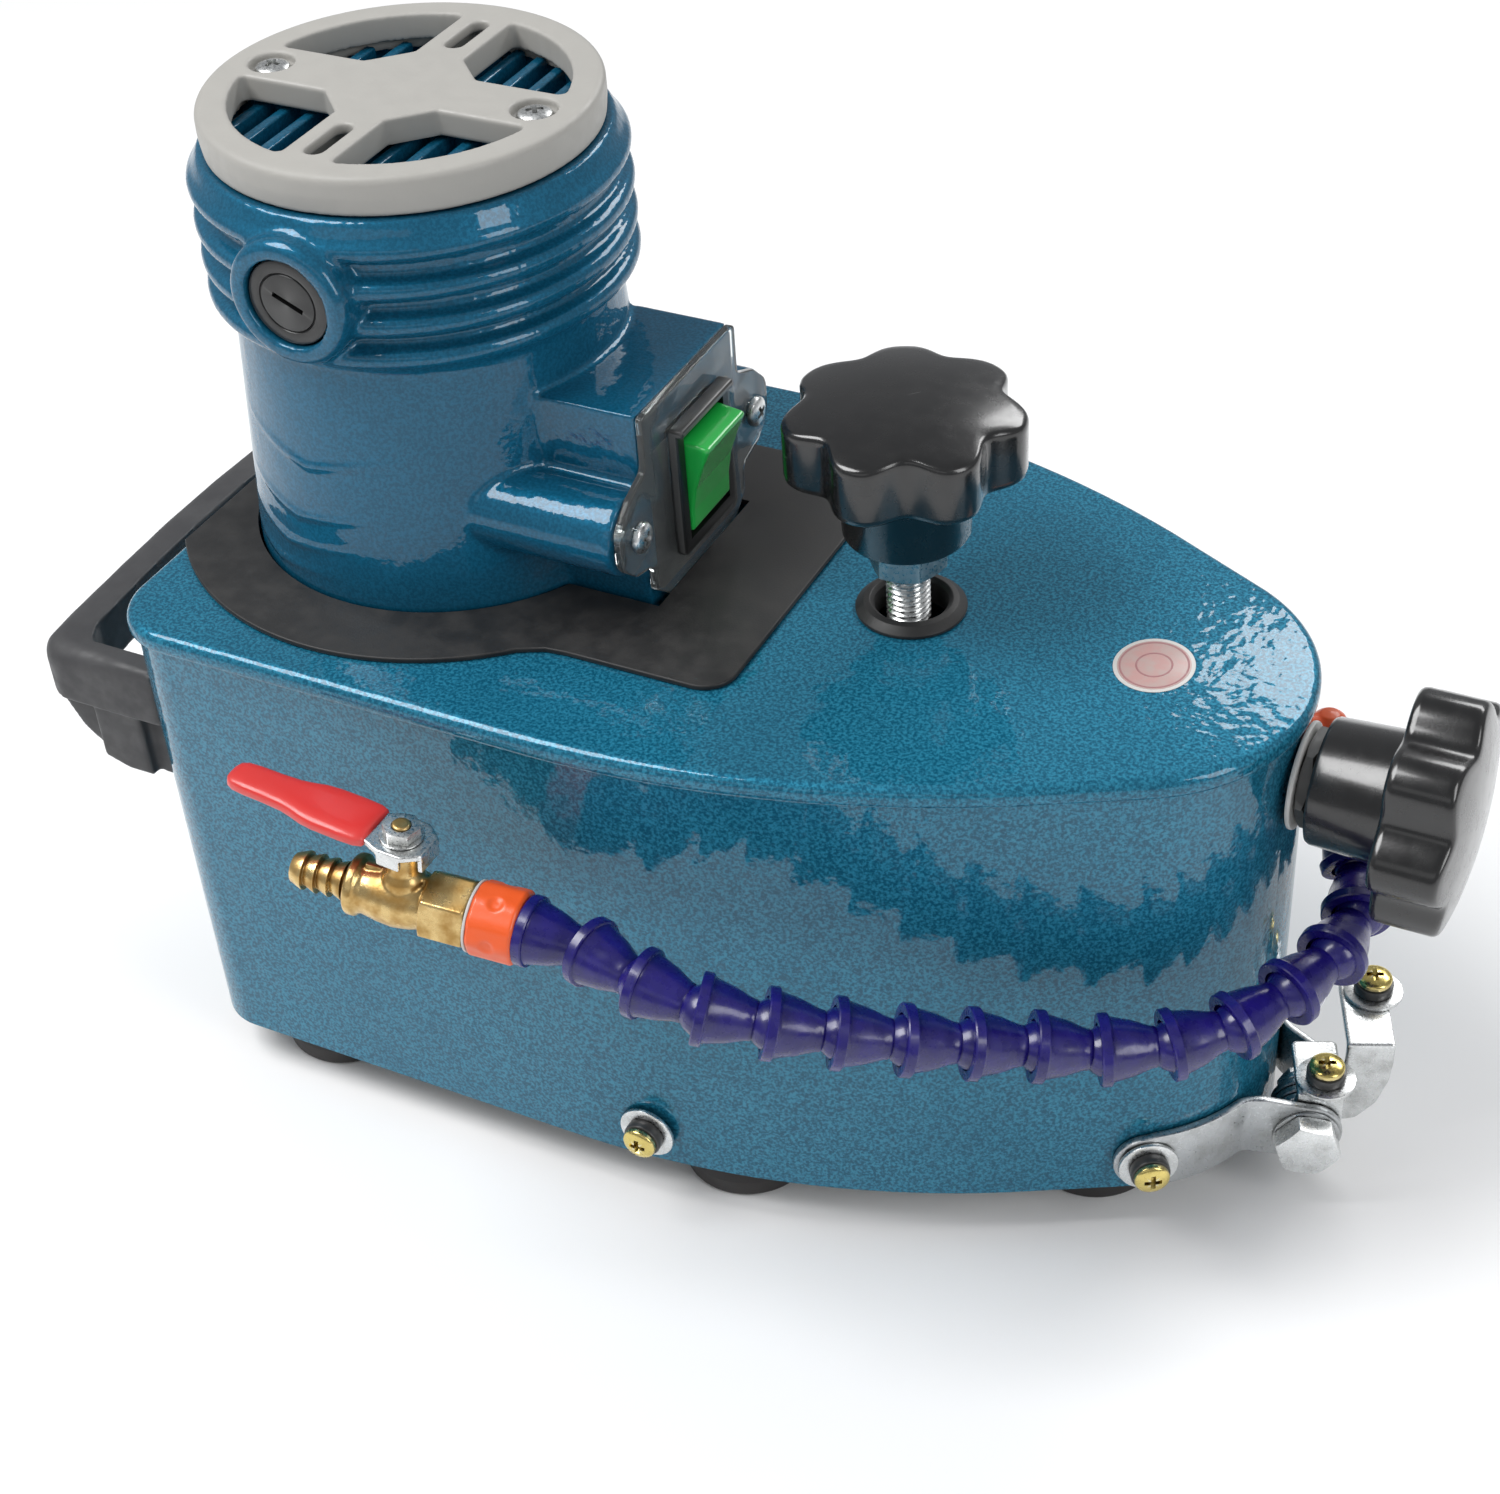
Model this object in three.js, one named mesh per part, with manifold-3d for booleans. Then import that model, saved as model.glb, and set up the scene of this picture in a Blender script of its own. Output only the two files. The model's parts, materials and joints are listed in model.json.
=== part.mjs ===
// Portable wet grinding machine: a painted housing on six feet, with a lifting
// motor, a cross feed, a water valve on a segmented hose and a guide bracket.
// Millimetres. +X points to the rounded nose, +Z up. The origin is the centre
// of the spindle's lower end face.
import * as THREE from 'three';
import { mergeVertices } from 'three/addons/utils/BufferGeometryUtils.js';
import Module from 'manifold-3d';

const wasm = await Module();
wasm.setup();

// ---- driving dimensions, with heights measured from the lower edge of the skirt ----
const SPINDLE_END = -11;
const GAP = 0.3;

const SKIRT = { rear: -60.2, half: 88, corner: 17.5, top: 144, wall: 2 };
const NOSE = { x: 201.6, r: 49 };
const TAPER = THREE.MathUtils.degToRad(27.6);
const BEND = { x: 138.9, r: 277 };
const PLATE = { overhang: 2, top: 150 };

const MOTOR = { rInside: 51, rLow: 57.4, rNeck: 52.3, low: 34, step: 134, neck: 222, top: 266.5, bore: 48 };
const FINS = { r: 58.2, heights: [228.5, 238, 248.5, 259] };
const CAP = { r: 53, top: 277.5, plate: 4, wall: 3.5, rim: 44.5, screwAt: 40 };
const BRUSH = { z: 245, face: 62, boss: 17.5, bore: 12, cap: 11.6 };
const SWITCH = { half: 26, front: 76, top: 209.5, bottom: 146, boltY: 33.5, boltZ: 178, lug: 11.5 };
const WINDOW = { half: 12.6, bottom: 163, top: 197.5 };
const ROCKER = { half: 11, clearance: 0.4 };

const HEIGHT_SCREW = { x: 140.5, r: 6, bottom: 20 };
const GROMMET = { x: 141.3, bore: 10, neck: 12, flange: 15.1 };
const FEED_AXIS = { z: 126.4, r: 5 };
const KNOB = { r: 32.4, lobes: 7, neck: 17, neckLength: 18, length: 42 };
const HEIGHT_KNOB_Z = 174.7;
const FEED_KNOB_X = 256.5;

const FLOOR_PLATE = { bottom: 6, top: 18, opening: 48 };
const FOOT = { r: 19.5, bottom: -14 };
const FEET = { rear: [-26, 63.2], mid: [113, 61], front: [206, 22] };

const SPINDLE = { r: 5, top: 262 };
const WHEEL = { r: 42, bottom: -8, top: 5 };

const VALVE = { x: 44.3, y: -112, z: 104.6, tilt: THREE.MathUtils.degToRad(6), yaw: THREE.MathUtils.degToRad(8) };
const HOSE = { rim: 9.75, neck: 5.3, ball: 5, elements: 17, middleFrom: 5, rootFrom: 12 };
const FITTING = { angle: THREE.MathUtils.degToRad(38), reach: 59.5, z: 114, r: 6.8 };

const CLAMP = { x: 265.5, y: -12.4, z: 8.5, turn: THREE.MathUtils.degToRad(22.5) };
const STRAP = { z: 12.5, farZ: 8.5, height: 20, thick: 2.4, screwAngle: 57.5, leaveAngle: 21.5, reach: 2,
  end: 9.8 };
const SHEET = 2.4;
const INNER = { y: STRAP.thick + GAP, tab: 10.8, left: -3, right: 10, end: 24, screwX: 5.3, screwY: 8.5 };
const OUTER = { y: 15, tab: 18.1, left: 11.5, right: 25, end: 45, screwX: 21, screwY: 36.5 };
const HANDLE = { top: 125, barBottom: 105, armInner: 72, armOuter: 80.5 };
const SIDE_SCREW = { x: 95.6, z: 12.8 };

// ---- shape helpers ----
function solid(geometry) {
  const bare = geometry.clone();
  bare.deleteAttribute('normal');
  bare.deleteAttribute('uv');
  const merged = mergeVertices(bare, 1e-4);
  const vertProperties = new Float32Array(merged.attributes.position.array);
  const triVerts = new Uint32Array(merged.index.array);
  return new wasm.Manifold(new wasm.Mesh({ numProp: 3, vertProperties, triVerts }));
}

function surface(manifold) {
  const mesh = manifold.getMesh();
  const geometry = new THREE.BufferGeometry();
  geometry.setAttribute('position', new THREE.BufferAttribute(new Float32Array(mesh.vertProperties), 3));
  geometry.setIndex(new THREE.BufferAttribute(new Uint32Array(mesh.triVerts), 1));
  return geometry;
}

function join(...geometries) {
  const whole = geometries.map(solid).reduce((sum, next) => sum.add(next));
  return surface(whole);
}

function cut(geometry, ...tools) {
  const rest = tools.map(solid).reduce((left, tool) => left.subtract(tool), solid(geometry));
  return surface(rest);
}

function block(x0, x1, y0, y1, z0, z1) {
  const geometry = new THREE.BoxGeometry(x1 - x0, y1 - y0, z1 - z0);
  return geometry.translate((x0 + x1) / 2, (y0 + y1) / 2, (z0 + z1) / 2);
}

function rod(r, z0, z1, sides = 14, rTop = r) {
  const geometry = new THREE.CylinderGeometry(rTop, r, z1 - z0, sides);
  return geometry.rotateX(Math.PI / 2).translate(0, 0, (z0 + z1) / 2);
}

// A closed ring or a solid of revolution about Z, from [radius, height] pairs.
function turned(profile, sides = 16) {
  const points = profile.map(([r, z]) => new THREE.Vector2(r, z));
  const onAxis = profile[0][0] === 0 && profile[profile.length - 1][0] === 0;
  if (!onAxis) points.push(points[0].clone());
  return new THREE.LatheGeometry(points, sides).rotateX(Math.PI / 2);
}

function prism(shape, z0, z1, segments = 6) {
  const settings = { depth: z1 - z0, bevelEnabled: false, curveSegments: segments };
  return new THREE.ExtrudeGeometry(shape, settings).translate(0, 0, z0);
}

function polygon(points) {
  return new THREE.Shape(points.map(([x, y]) => new THREE.Vector2(x, y)));
}

const alongX = (geometry) => geometry.rotateY(Math.PI / 2);
const alongY = (geometry) => geometry.rotateX(-Math.PI / 2);

function disc(r, x = 0, y = 0) {
  const shape = new THREE.Shape();
  shape.absarc(x, y, r, 0, 2 * Math.PI);
  return shape;
}

// ---- the plan outline of the housing, moved outwards by grow ----
function housingOutline(grow) {
  const noseR = NOSE.r + grow;
  const end = Math.PI / 2 - TAPER;
  const bendX = BEND.x - BEND.r * Math.tan(TAPER / 2);
  const bendY = SKIRT.half - BEND.r;
  const cornerX = SKIRT.rear + SKIRT.corner;
  const cornerY = SKIRT.half - SKIRT.corner;
  const cornerR = SKIRT.corner + grow;
  const shape = new THREE.Shape();
  shape.absarc(NOSE.x, 0, noseR, -end, 0);
  shape.absarc(NOSE.x, 0, noseR, 0, end);
  shape.absarc(bendX, bendY, BEND.r + grow, end, Math.PI / 2);
  shape.absarc(cornerX, cornerY, cornerR, Math.PI / 2, Math.PI);
  shape.absarc(cornerX, -cornerY, cornerR, Math.PI, 1.5 * Math.PI);
  shape.absarc(bendX, -bendY, BEND.r + grow, -Math.PI / 2, -end);
  return shape;
}

// ---- fixed housing ----
function motorOpening() {
  const z0 = SKIRT.top - 4;
  const z1 = PLATE.top + 3;
  return join(rod(60, z0, z1, 28).translate(2, 0, 0), block(0, 86, -31.5, 31.5, z0, z1));
}

function noseHole(angle, z, r) {
  const hole = alongX(rod(r, 40, 60, 8)).rotateZ(angle);
  return hole.translate(NOSE.x, 0, z);
}

function coverShell() {
  const body = join(
    prism(housingOutline(0), 0, SKIRT.top + 0.5),
    prism(housingOutline(PLATE.overhang), SKIRT.top, PLATE.top - 1),
    prism(housingOutline(PLATE.overhang - 1), PLATE.top - 1.5, PLATE.top),
  );
  const strapAngle = THREE.MathUtils.degToRad(STRAP.screwAngle);
  return cut(
    body,
    prism(housingOutline(-SKIRT.wall), -1, SKIRT.top + 1),
    motorOpening(),
    rod(12.4, 140, 155).translate(GROMMET.x, 0, 0),
    alongX(rod(9, 240, 260)).translate(0, 0, FEED_AXIS.z),
    noseHole(FITTING.angle, FITTING.z, 5.2),
    noseHole(strapAngle, STRAP.farZ, 2.4),
    noseHole(-strapAngle, STRAP.z, 2.4),
    alongY(rod(2.4, -100, 100, 8)).translate(SIDE_SCREW.x, 0, SIDE_SCREW.z),
  );
}

function floorPlate() {
  const strapAngle = THREE.MathUtils.degToRad(STRAP.screwAngle);
  return cut(
    prism(housingOutline(-SKIRT.wall - GAP), FLOOR_PLATE.bottom, FLOOR_PLATE.top),
    rod(FLOOR_PLATE.opening, 0, 20, 28),
    alongY(rod(2.4, -100, 100, 8)).translate(SIDE_SCREW.x, 0, SIDE_SCREW.z),
    noseHole(strapAngle, STRAP.farZ, 2.4),
    noseHole(-strapAngle, STRAP.z, 2.4),
  );
}

function foot() {
  const top = FLOOR_PLATE.bottom - GAP;
  const { r, bottom } = FOOT;
  return turned([[0, bottom], [r - 1, bottom], [r, bottom + 1], [r, top], [0, top]]);
}

function gasket() {
  const sheet = join(prism(disc(79), 0, 1.5, 24), prism(polygon([[0, -55], [104, -55], [109, -53], [112, -47],
    [112, 47], [109, 53], [104, 55], [0, 55]]), 0, 1.5));
  const opening = join(rod(MOTOR.rLow + 0.9, -1, 3, 28), block(0, 81.5, -27.5, 27.5, -1, 3));
  const rearTrim = block(-100, SKIRT.rear - 1.2, -100, 100, -1, 3);
  return cut(sheet, opening, rearTrim).translate(0, 0, PLATE.top + 0.1);
}

function screwGrommet() {
  const z = PLATE.top;
  const { bore, neck, flange } = GROMMET;
  return turned([[bore, z - 5], [neck, z - 5], [neck, z + 0.1], [flange, z + 0.1], [flange, z + 0.9],
    [flange - 2.5, z + 3.2], [bore, z + 3.2]]);
}

// The bar is bowed outwards. Both arms are deep and round off towards the bar at the bottom.
function gripHandle() {
  const { top, barBottom, armInner, armOuter } = HANDLE;
  const outer = [[-50, armOuter], [-93, armOuter], [-97, 79.4], [-99, 77], [-100, 72], [-101, 62],
    [-103, 35]];
  const inner = [[-90, 35], [-87, 66], [-84, armInner], [-50, armInner]];
  const otherSide = (points) => points.map(([x, y]) => [x, -y]).reverse();
  const plan = [...outer, [-104, 0], ...otherSide(outer), ...otherSide(inner), [-91, 0], ...inner];
  const side = [[-50, 85], [-76, 85], [-85, 88], [-92, 94], [-96.5, 102], [-98.5, barBottom + 4],
    [-112, barBottom + 4], [-112, top], [-50, top]];
  const seenFromAbove = solid(prism(polygon(plan), 60, 140));
  const seenFromSide = solid(prism(polygon(side), -100, 100).rotateX(Math.PI / 2));
  const underBar = block(-120, -50, 1 - armInner, armInner - 1, 60, barBottom);
  return cut(surface(seenFromAbove.intersect(seenFromSide)), underBar, prism(housingOutline(GAP), 60, 140));
}

// A pan-head screw with its black spacer and washer, pointing along -Z into z = 0.
function captiveScrew(shank) {
  return join(rod(8.6, 0, 1.2), rod(5.2, 1, 7.2, 10), rod(2.1, -shank, 1, 8));
}

function sideScrew(side) {
  const screw = captiveScrew(9);
  screw.rotateX(-side * Math.PI / 2);
  return screw.translate(SIDE_SCREW.x, side * (SKIRT.half + 0.1), SIDE_SCREW.z);
}

function strapScrew(side) {
  const screw = alongX(captiveScrew(9)).rotateZ(side * THREE.MathUtils.degToRad(STRAP.screwAngle));
  const r = NOSE.r + STRAP.thick + 0.6;
  const a = THREE.MathUtils.degToRad(STRAP.screwAngle);
  return screw.translate(NOSE.x + r * Math.cos(a), side * r * Math.sin(a), side < 0 ? STRAP.z : STRAP.farZ);
}

// ---- guide bracket on the nose ----
// The strap follows the nose wall, then leaves it along the clamp direction.
function strapPlan(inner, reach) {
  const from = THREE.MathUtils.degToRad(-STRAP.screwAngle - 9.5);
  const to = THREE.MathUtils.degToRad(-STRAP.leaveAngle);
  const outer = inner + STRAP.thick;
  const shape = new THREE.Shape();
  shape.absarc(NOSE.x, 0, outer, from, to);
  const ahead = new THREE.Vector2(Math.cos(CLAMP.turn), Math.sin(CLAMP.turn));
  const aside = new THREE.Vector2(ahead.y, -ahead.x);
  const tip = new THREE.Vector2(CLAMP.x, CLAMP.y).addScaledVector(ahead, reach);
  shape.lineTo(tip.x, tip.y);
  shape.lineTo(tip.x - aside.x * STRAP.thick, tip.y - aside.y * STRAP.thick);
  shape.absarc(NOSE.x, 0, inner, to, from, true);
  return shape;
}

function strap(side) {
  const z = side < 0 ? STRAP.z : STRAP.farZ;
  const bar = prism(strapPlan(NOSE.r + 0.35, STRAP.reach), z - STRAP.height / 2, z + STRAP.height / 2, 8);
  const screwHole = noseHole(-THREE.MathUtils.degToRad(STRAP.screwAngle), z, 2.5);
  if (side > 0) return surface(solid(cut(bar, screwHole)).mirror([0, 1, 0]));
  const atBolt = (geometry) => geometry.rotateZ(CLAMP.turn).translate(CLAMP.x, CLAMP.y, CLAMP.z);
  const roundEnd = atBolt(alongY(rod(STRAP.end, 0, STRAP.thick, 18)));
  const boltHole = atBolt(alongY(rod(4.4, -8, 8)));
  return cut(join(bar, roundEnd), screwHole, boltHole);
}

// The clamp group's own frame: +X along the strap's free end, +Y away from the bolt head, z = 0 on the bolt.
function clampHole() {
  return alongY(rod(4.4, -30, 30));
}

function innerBracket() {
  const { y, tab, left, right, end, screwX, screwY } = INNER;
  const flange = block(-8, right, y, y + SHEET, -8, tab);
  const roundEnd = alongY(rod(STRAP.end, y, y + SHEET, 18));
  const top = block(left, right, y, end, tab - 0.1, tab + SHEET);
  return cut(join(flange, roundEnd, top), clampHole(), rod(2.5, 5, 20).translate(screwX, screwY, 0));
}

function outerBracket() {
  const { y, tab, left, right, end, screwX, screwY } = OUTER;
  const outline = polygon([[-5, -8], [9, -9.8], [17, -8.5], [22.5, -2], [right, 8], [right, tab + 0.1],
    [left, tab + 0.1], [left, 10], [8, 7.5], [-3, 7.5], [-6, 3], [-6, -4]]);
  const plate = prism(outline, 0, SHEET).rotateX(Math.PI / 2).translate(0, y + SHEET, 0);
  const tabPlan = polygon([[left, y], [right, y], [right, end - 4], [right - 4, end], [left + 4, end],
    [left, end - 4]]);
  const top = prism(tabPlan, tab, tab + SHEET);
  return cut(join(plate, top), clampHole(), rod(2.5, 10, 30).translate(screwX, screwY, 0));
}

function clampBolt() {
  const head = rod(9.6, -7.2, -0.9, 6).rotateZ(Math.PI / 6);
  const nutFace = OUTER.y + SHEET + GAP;
  const nut = rod(6.2, nutFace, nutFace + 3, 6);
  return alongY(join(head, rod(4, -1, nutFace + 3.5), nut));
}

// A stack of three plain washers of the same size, turning on the bolt as one piece.
function guideRoller() {
  const start = INNER.y + SHEET + GAP;
  const end = OUTER.y - GAP;
  const third = (end - start) / 3;
  const edge = 8.8;
  const valley = 7.8;
  const profile = [[4.4, start]];
  for (let i = 0; i < 3; i += 1) {
    profile.push([valley, start + i * third], [edge, start + i * third + 0.8]);
    profile.push([edge, start + (i + 1) * third - 0.8]);
  }
  profile.push([valley, end], [4.4, end]);
  return alongY(turned(profile));
}

function bracketScrew(shank) {
  return join(rod(7, GAP, 1.4), rod(5.2, 1.2, 7.2, 10), rod(2.1, -shank, 1, 8));
}

// ---- feed drive and water fitting ----
function feedBush() {
  const sleeve = turned([[5.5, 240], [8.6, 240], [8.6, 251], [14.4, 251], [14.4, 252.6], [12, 252.6],
    [12, 253.5], [5.5, 254]]);
  const gland = cut(rod(13.6, 252.5, FEED_KNOB_X - GAP, 6), rod(5.5, 250, 262));
  return alongX(join(sleeve, gland)).translate(0, 0, FEED_AXIS.z);
}

function waterFitting() {
  const reach = FITTING.reach;
  const stub = alongX(join(rod(4.8, 44, reach, 8), rod(8.2, NOSE.r + GAP, NOSE.r + 4.5, 6)));
  const elbow = new THREE.SphereGeometry(FITTING.r, 10, 8).translate(reach, 0, 0);
  const down = rod(FITTING.r, -5, 0, 10).translate(reach, 0, 0);
  const whole = join(stub, elbow, down);
  return whole.rotateZ(FITTING.angle).translate(NOSE.x, 0, FITTING.z);
}

// ---- knobs and screws ----
function lobedOutline(r) {
  const dip = r * 0.16;
  const points = [];
  const steps = KNOB.lobes * 4;
  for (let i = 0; i < steps; i += 1) {
    const a = (i / steps) * 2 * Math.PI;
    const wave = Math.pow((1 - Math.cos(KNOB.lobes * a)) / 2, 1.4);
    const radius = r - dip * wave;
    points.push([radius * Math.cos(a), radius * Math.sin(a)]);
  }
  return polygon(points);
}

// Seen from its neck upwards along +Z, starting at z = 0.
function lobedKnob(boreR) {
  const { r, neck, neckLength, length } = KNOB;
  const layers = [
    prism(lobedOutline(r), neckLength, length - 4),
    prism(lobedOutline(r - 3), length - 4.5, length - 2),
    rod(r - 7, length - 2.5, length, 20, r - 12),
    rod(neck, 0, neckLength + 1, 20, neck + 1),
  ];
  return cut(join(...layers), rod(boreR + GAP, -1, neckLength + 5));
}

function heightScrew() {
  const top = HEIGHT_KNOB_Z + 18;
  return join(rod(HEIGHT_SCREW.r, HEIGHT_SCREW.bottom, top), rod(10.4, 163, HEIGHT_KNOB_Z - GAP, 6));
}

function feedScrew() {
  return alongX(rod(FEED_AXIS.r, 186, FEED_KNOB_X + 18)).translate(0, 0, FEED_AXIS.z);
}

// ---- cross slide ----
const COLUMN = { x: 168, y: 20, r: 6, top: 134 };
const POST = { x0: 190, x1: 206, half: 14, top: 138 };

function crossSlidePlate() {
  const z0 = FLOOR_PLATE.top + GAP;
  const z1 = 27;
  const outline = polygon([[-55, -74], [140, -74], [168, -58], [210, -38], [210, 38], [168, 58], [140, 74],
    [-55, 74]]);
  const post = block(POST.x0, POST.x1, -POST.half, POST.half, z1 - 1, POST.top);
  const body = join(prism(outline, z0, z1), post);
  return cut(
    body,
    rod(49, 0, 40, 28),
    rod(HEIGHT_SCREW.r + GAP, 0, 40).translate(HEIGHT_SCREW.x, 0, 0),
    rod(COLUMN.r + GAP, 0, 40).translate(COLUMN.x, COLUMN.y, 0),
    rod(COLUMN.r + GAP, 0, 40).translate(COLUMN.x, -COLUMN.y, 0),
    alongX(rod(FEED_AXIS.r + GAP, 180, 220)).translate(0, 0, FEED_AXIS.z),
  );
}

function guideColumn(side) {
  return rod(COLUMN.r, FLOOR_PLATE.top + 1, COLUMN.top).translate(COLUMN.x, side * COLUMN.y, 0);
}

// ---- lifting motor unit ----
function liftBracket() {
  const ring = join(rod(57, 66, 78, 28), block(40, 182, -30, 30, 66, 78));
  return cut(
    ring,
    rod(MOTOR.rInside + 0.4, 60, 90, 28),
    rod(HEIGHT_SCREW.r + GAP, 60, 90).translate(HEIGHT_SCREW.x, 0, 0),
    rod(COLUMN.r + GAP, 60, 90).translate(COLUMN.x, COLUMN.y, 0),
    rod(COLUMN.r + GAP, 60, 90).translate(COLUMN.x, -COLUMN.y, 0),
  );
}

function finProfile() {
  const points = [];
  const valley = 53.4;
  for (const z of FINS.heights) {
    points.push([valley, z - 3.4], [FINS.r, z - 1.4], [FINS.r, z + 1.4], [valley, z + 3.4]);
  }
  return points;
}

function motorShell() {
  const profile = [[7.5, MOTOR.low], [20, MOTOR.low], [22, 47], [48, 57], [MOTOR.rInside, 63],
    [MOTOR.rInside, MOTOR.step], [MOTOR.rLow, MOTOR.step + 2], [MOTOR.rLow, 149],
    [MOTOR.rNeck, MOTOR.neck], ...finProfile(), [54, MOTOR.top], [50, MOTOR.top], [50, 257],
    [MOTOR.bore, 255],
    [MOTOR.bore, 68], [42, 61], [16.5, 54], [16.5, 41], [7.5, 41]];
  return turned(profile, 24);
}

// Cast bars across the top carry the upper bearing's seat and the cap screws.
function topGrid() {
  const pieces = [];
  for (let x = -40; x <= 40; x += 8) {
    const reach = Math.sqrt(51.5 * 51.5 - x * x);
    pieces.push(block(x - 1.5, x + 1.5, -reach, reach, 258, MOTOR.top - GAP));
  }
  const crossbar = block(-51, 51, -4, 4, 258, MOTOR.top - GAP);
  const seat = rod(15, 252.5, MOTOR.top - GAP);
  const bosses = [-1, 1].map((side) => rod(5, 250, MOTOR.top - GAP, 8).translate(side * CAP.screwAt, 0, 0));
  return join(crossbar, seat, ...pieces, ...bosses);
}

function motorHousing() {
  const boss = (side) => alongY(rod(BRUSH.boss, 44, BRUSH.face, 18)).rotateZ(side > 0 ? 0 : Math.PI)
    .translate(0, 0, BRUSH.z);
  const bossBore = alongY(rod(BRUSH.bore, -80, 80)).translate(0, 0, BRUSH.z);
  const atLug = (geometry, side) => geometry.translate(0, side * SWITCH.boltY, SWITCH.boltZ);
  const lug = (side) => atLug(alongX(rod(SWITCH.lug, 38, SWITCH.front)), side);
  const lugBore = (side) => atLug(alongX(rod(2.3, 60, 80, 8)), side);
  const box = block(30, SWITCH.front, -SWITCH.half, SWITCH.half, SWITCH.bottom, SWITCH.top);
  const bore = rod(MOTOR.bore, 68, 250, 24);
  const outside = cut(join(motorShell(), boss(-1), boss(1), box, lug(-1), lug(1)), bore, bossBore);
  return cut(
    join(outside, topGrid()),
    block(52, 90, -WINDOW.half, WINDOW.half, WINDOW.bottom, WINDOW.top),
    rod(11.3, 240, 262),
    rod(SPINDLE.r + 0.8, 240, 280),
    lugBore(-1),
    lugBore(1),
    rod(2.3, 240, 280, 8).translate(CAP.screwAt, 0, 0),
    rod(2.3, 240, 280, 8).translate(-CAP.screwAt, 0, 0),
  );
}

// One of four openings: a sector of the disc between two spokes, with its hub corner cut off.
function capOpening(sx, sy) {
  const spokeX = 7.5;
  const spokeY = 9.5;
  const { rim } = CAP;
  const from = Math.asin(spokeY / rim);
  const to = Math.acos(spokeX / rim);
  const points = [];
  for (let i = 0; i <= 8; i += 1) {
    const a = from + ((to - from) * i) / 8;
    points.push([sx * rim * Math.cos(a), sy * rim * Math.sin(a)]);
  }
  points.push([sx * spokeX, sy * 19], [sx * 17, sy * spokeY]);
  if (sx * sy < 0) points.reverse();
  return prism(polygon(points), 260, 280);
}

function ventCap() {
  const z0 = MOTOR.top + GAP;
  const shell = turned([[CAP.r - CAP.wall, z0], [CAP.r, z0], [CAP.r, CAP.top - 1.2], [CAP.r - 1.2, CAP.top],
    [0, CAP.top], [0, CAP.top - CAP.plate], [CAP.r - CAP.wall, CAP.top - CAP.plate]], 28);
  const openings = [[1, 1], [-1, 1], [-1, -1], [1, -1]].map(([sx, sy]) => capOpening(sx, sy));
  const slots = [-1, 1].map((side) => block(-2.7, 2.7, side * 33 - 8.5, side * 33 + 8.5, 260, 280));
  const bores = [-1, 1].flatMap((side) => [
    rod(2.4, 260, 280, 8).translate(side * CAP.screwAt, 0, 0),
    rod(5, CAP.top - 2.6, 280).translate(side * CAP.screwAt, 0, 0),
  ]);
  return cut(shell, ...openings, ...slots, ...bores);
}

function capScrew(side) {
  const seat = CAP.top - 2.6 + 0.1;
  return join(rod(4.2, seat, seat + 2.2, 8), rod(2, 254, seat + 1, 8)).translate(side * CAP.screwAt, 0, 0);
}

function switchPlate() {
  const rightHalf = [[20, 150], [26.5, 156], [26.5, 164], [37, 166.5], [43, 172], [43, 184], [37, 189.5],
    [26.5, 194], [26.5, SWITCH.top]];
  const leftHalf = rightHalf.map(([y, z]) => [-y, z]).reverse();
  const outline = polygon([...rightHalf, ...leftHalf]);
  const x0 = SWITCH.front + GAP;
  const plate = prism(outline, x0, x0 + 2.4).rotateX(Math.PI / 2).rotateZ(Math.PI / 2);
  const screwHole = (side) => alongX(rod(2.4, 60, 90, 8)).translate(0, side * SWITCH.boltY, SWITCH.boltZ);
  const window = block(60, 90, -WINDOW.half, WINDOW.half, WINDOW.bottom, WINDOW.top);
  return cut(plate, window, screwHole(-1), screwHole(1));
}

function switchBody() {
  const x0 = SWITCH.front + GAP + 2.4 + 0.1;
  const half = WINDOW.half - GAP;
  const body = block(56, x0 + 1, -half, half, WINDOW.bottom + GAP, WINDOW.top - GAP);
  const bezel = block(x0, x0 + 3, -15, 15, 160, 200);
  const hood = block(x0, x0 + 4.8, -15, 15, 197.6, 200);
  const mouth = ROCKER.half + ROCKER.clearance;
  return cut(join(body, bezel, hood), block(66, 100, -mouth, mouth, 164, 196.9));
}

function switchScrew(side) {
  const x0 = SWITCH.front + GAP + 2.4;
  const screw = alongX(join(rod(4.1, x0 + 0.1, x0 + 2.6, 8), rod(2, x0 - 14, x0 + 1, 8)));
  return screw.translate(0, side * SWITCH.boltY, SWITCH.boltZ);
}

function brushCap(side) {
  const slot = block(-4.5, 4.5, -0.8, 0.8, BRUSH.face - 2.8, BRUSH.face);
  const cap = cut(rod(BRUSH.cap, 49, BRUSH.face - 1.5, 16), slot);
  return alongY(cap).rotateZ(side > 0 ? 0 : Math.PI).translate(0, 0, BRUSH.z);
}

function carbonBrush(side) {
  return block(-3, 3, side > 0 ? 14.4 : -48, side > 0 ? 48 : -14.4, BRUSH.z - 4, BRUSH.z + 4);
}

const stator = () => turned([[30, 120], [MOTOR.bore - 1, 120], [MOTOR.bore - 1, 190], [30, 190]]);
const upperBearing = () => turned([[5.3, 254], [11, 254], [11, 261], [5.3, 261]]);
const lowerBearing = () => turned([[5.3, 41.3], [16.2, 41.3], [16.2, 51], [5.3, 51]]);

// ---- rotor ----
function spindle() {
  return join(rod(SPINDLE.r, SPINDLE_END, SPINDLE.top), rod(7, WHEEL.top + GAP, 30));
}

function armature() {
  const r0 = SPINDLE.r + GAP;
  return turned([[r0, 118], [29.4, 120], [29.4, 190], [20, 205], [14, 207], [14, 251], [r0, 251]]);
}

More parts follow.
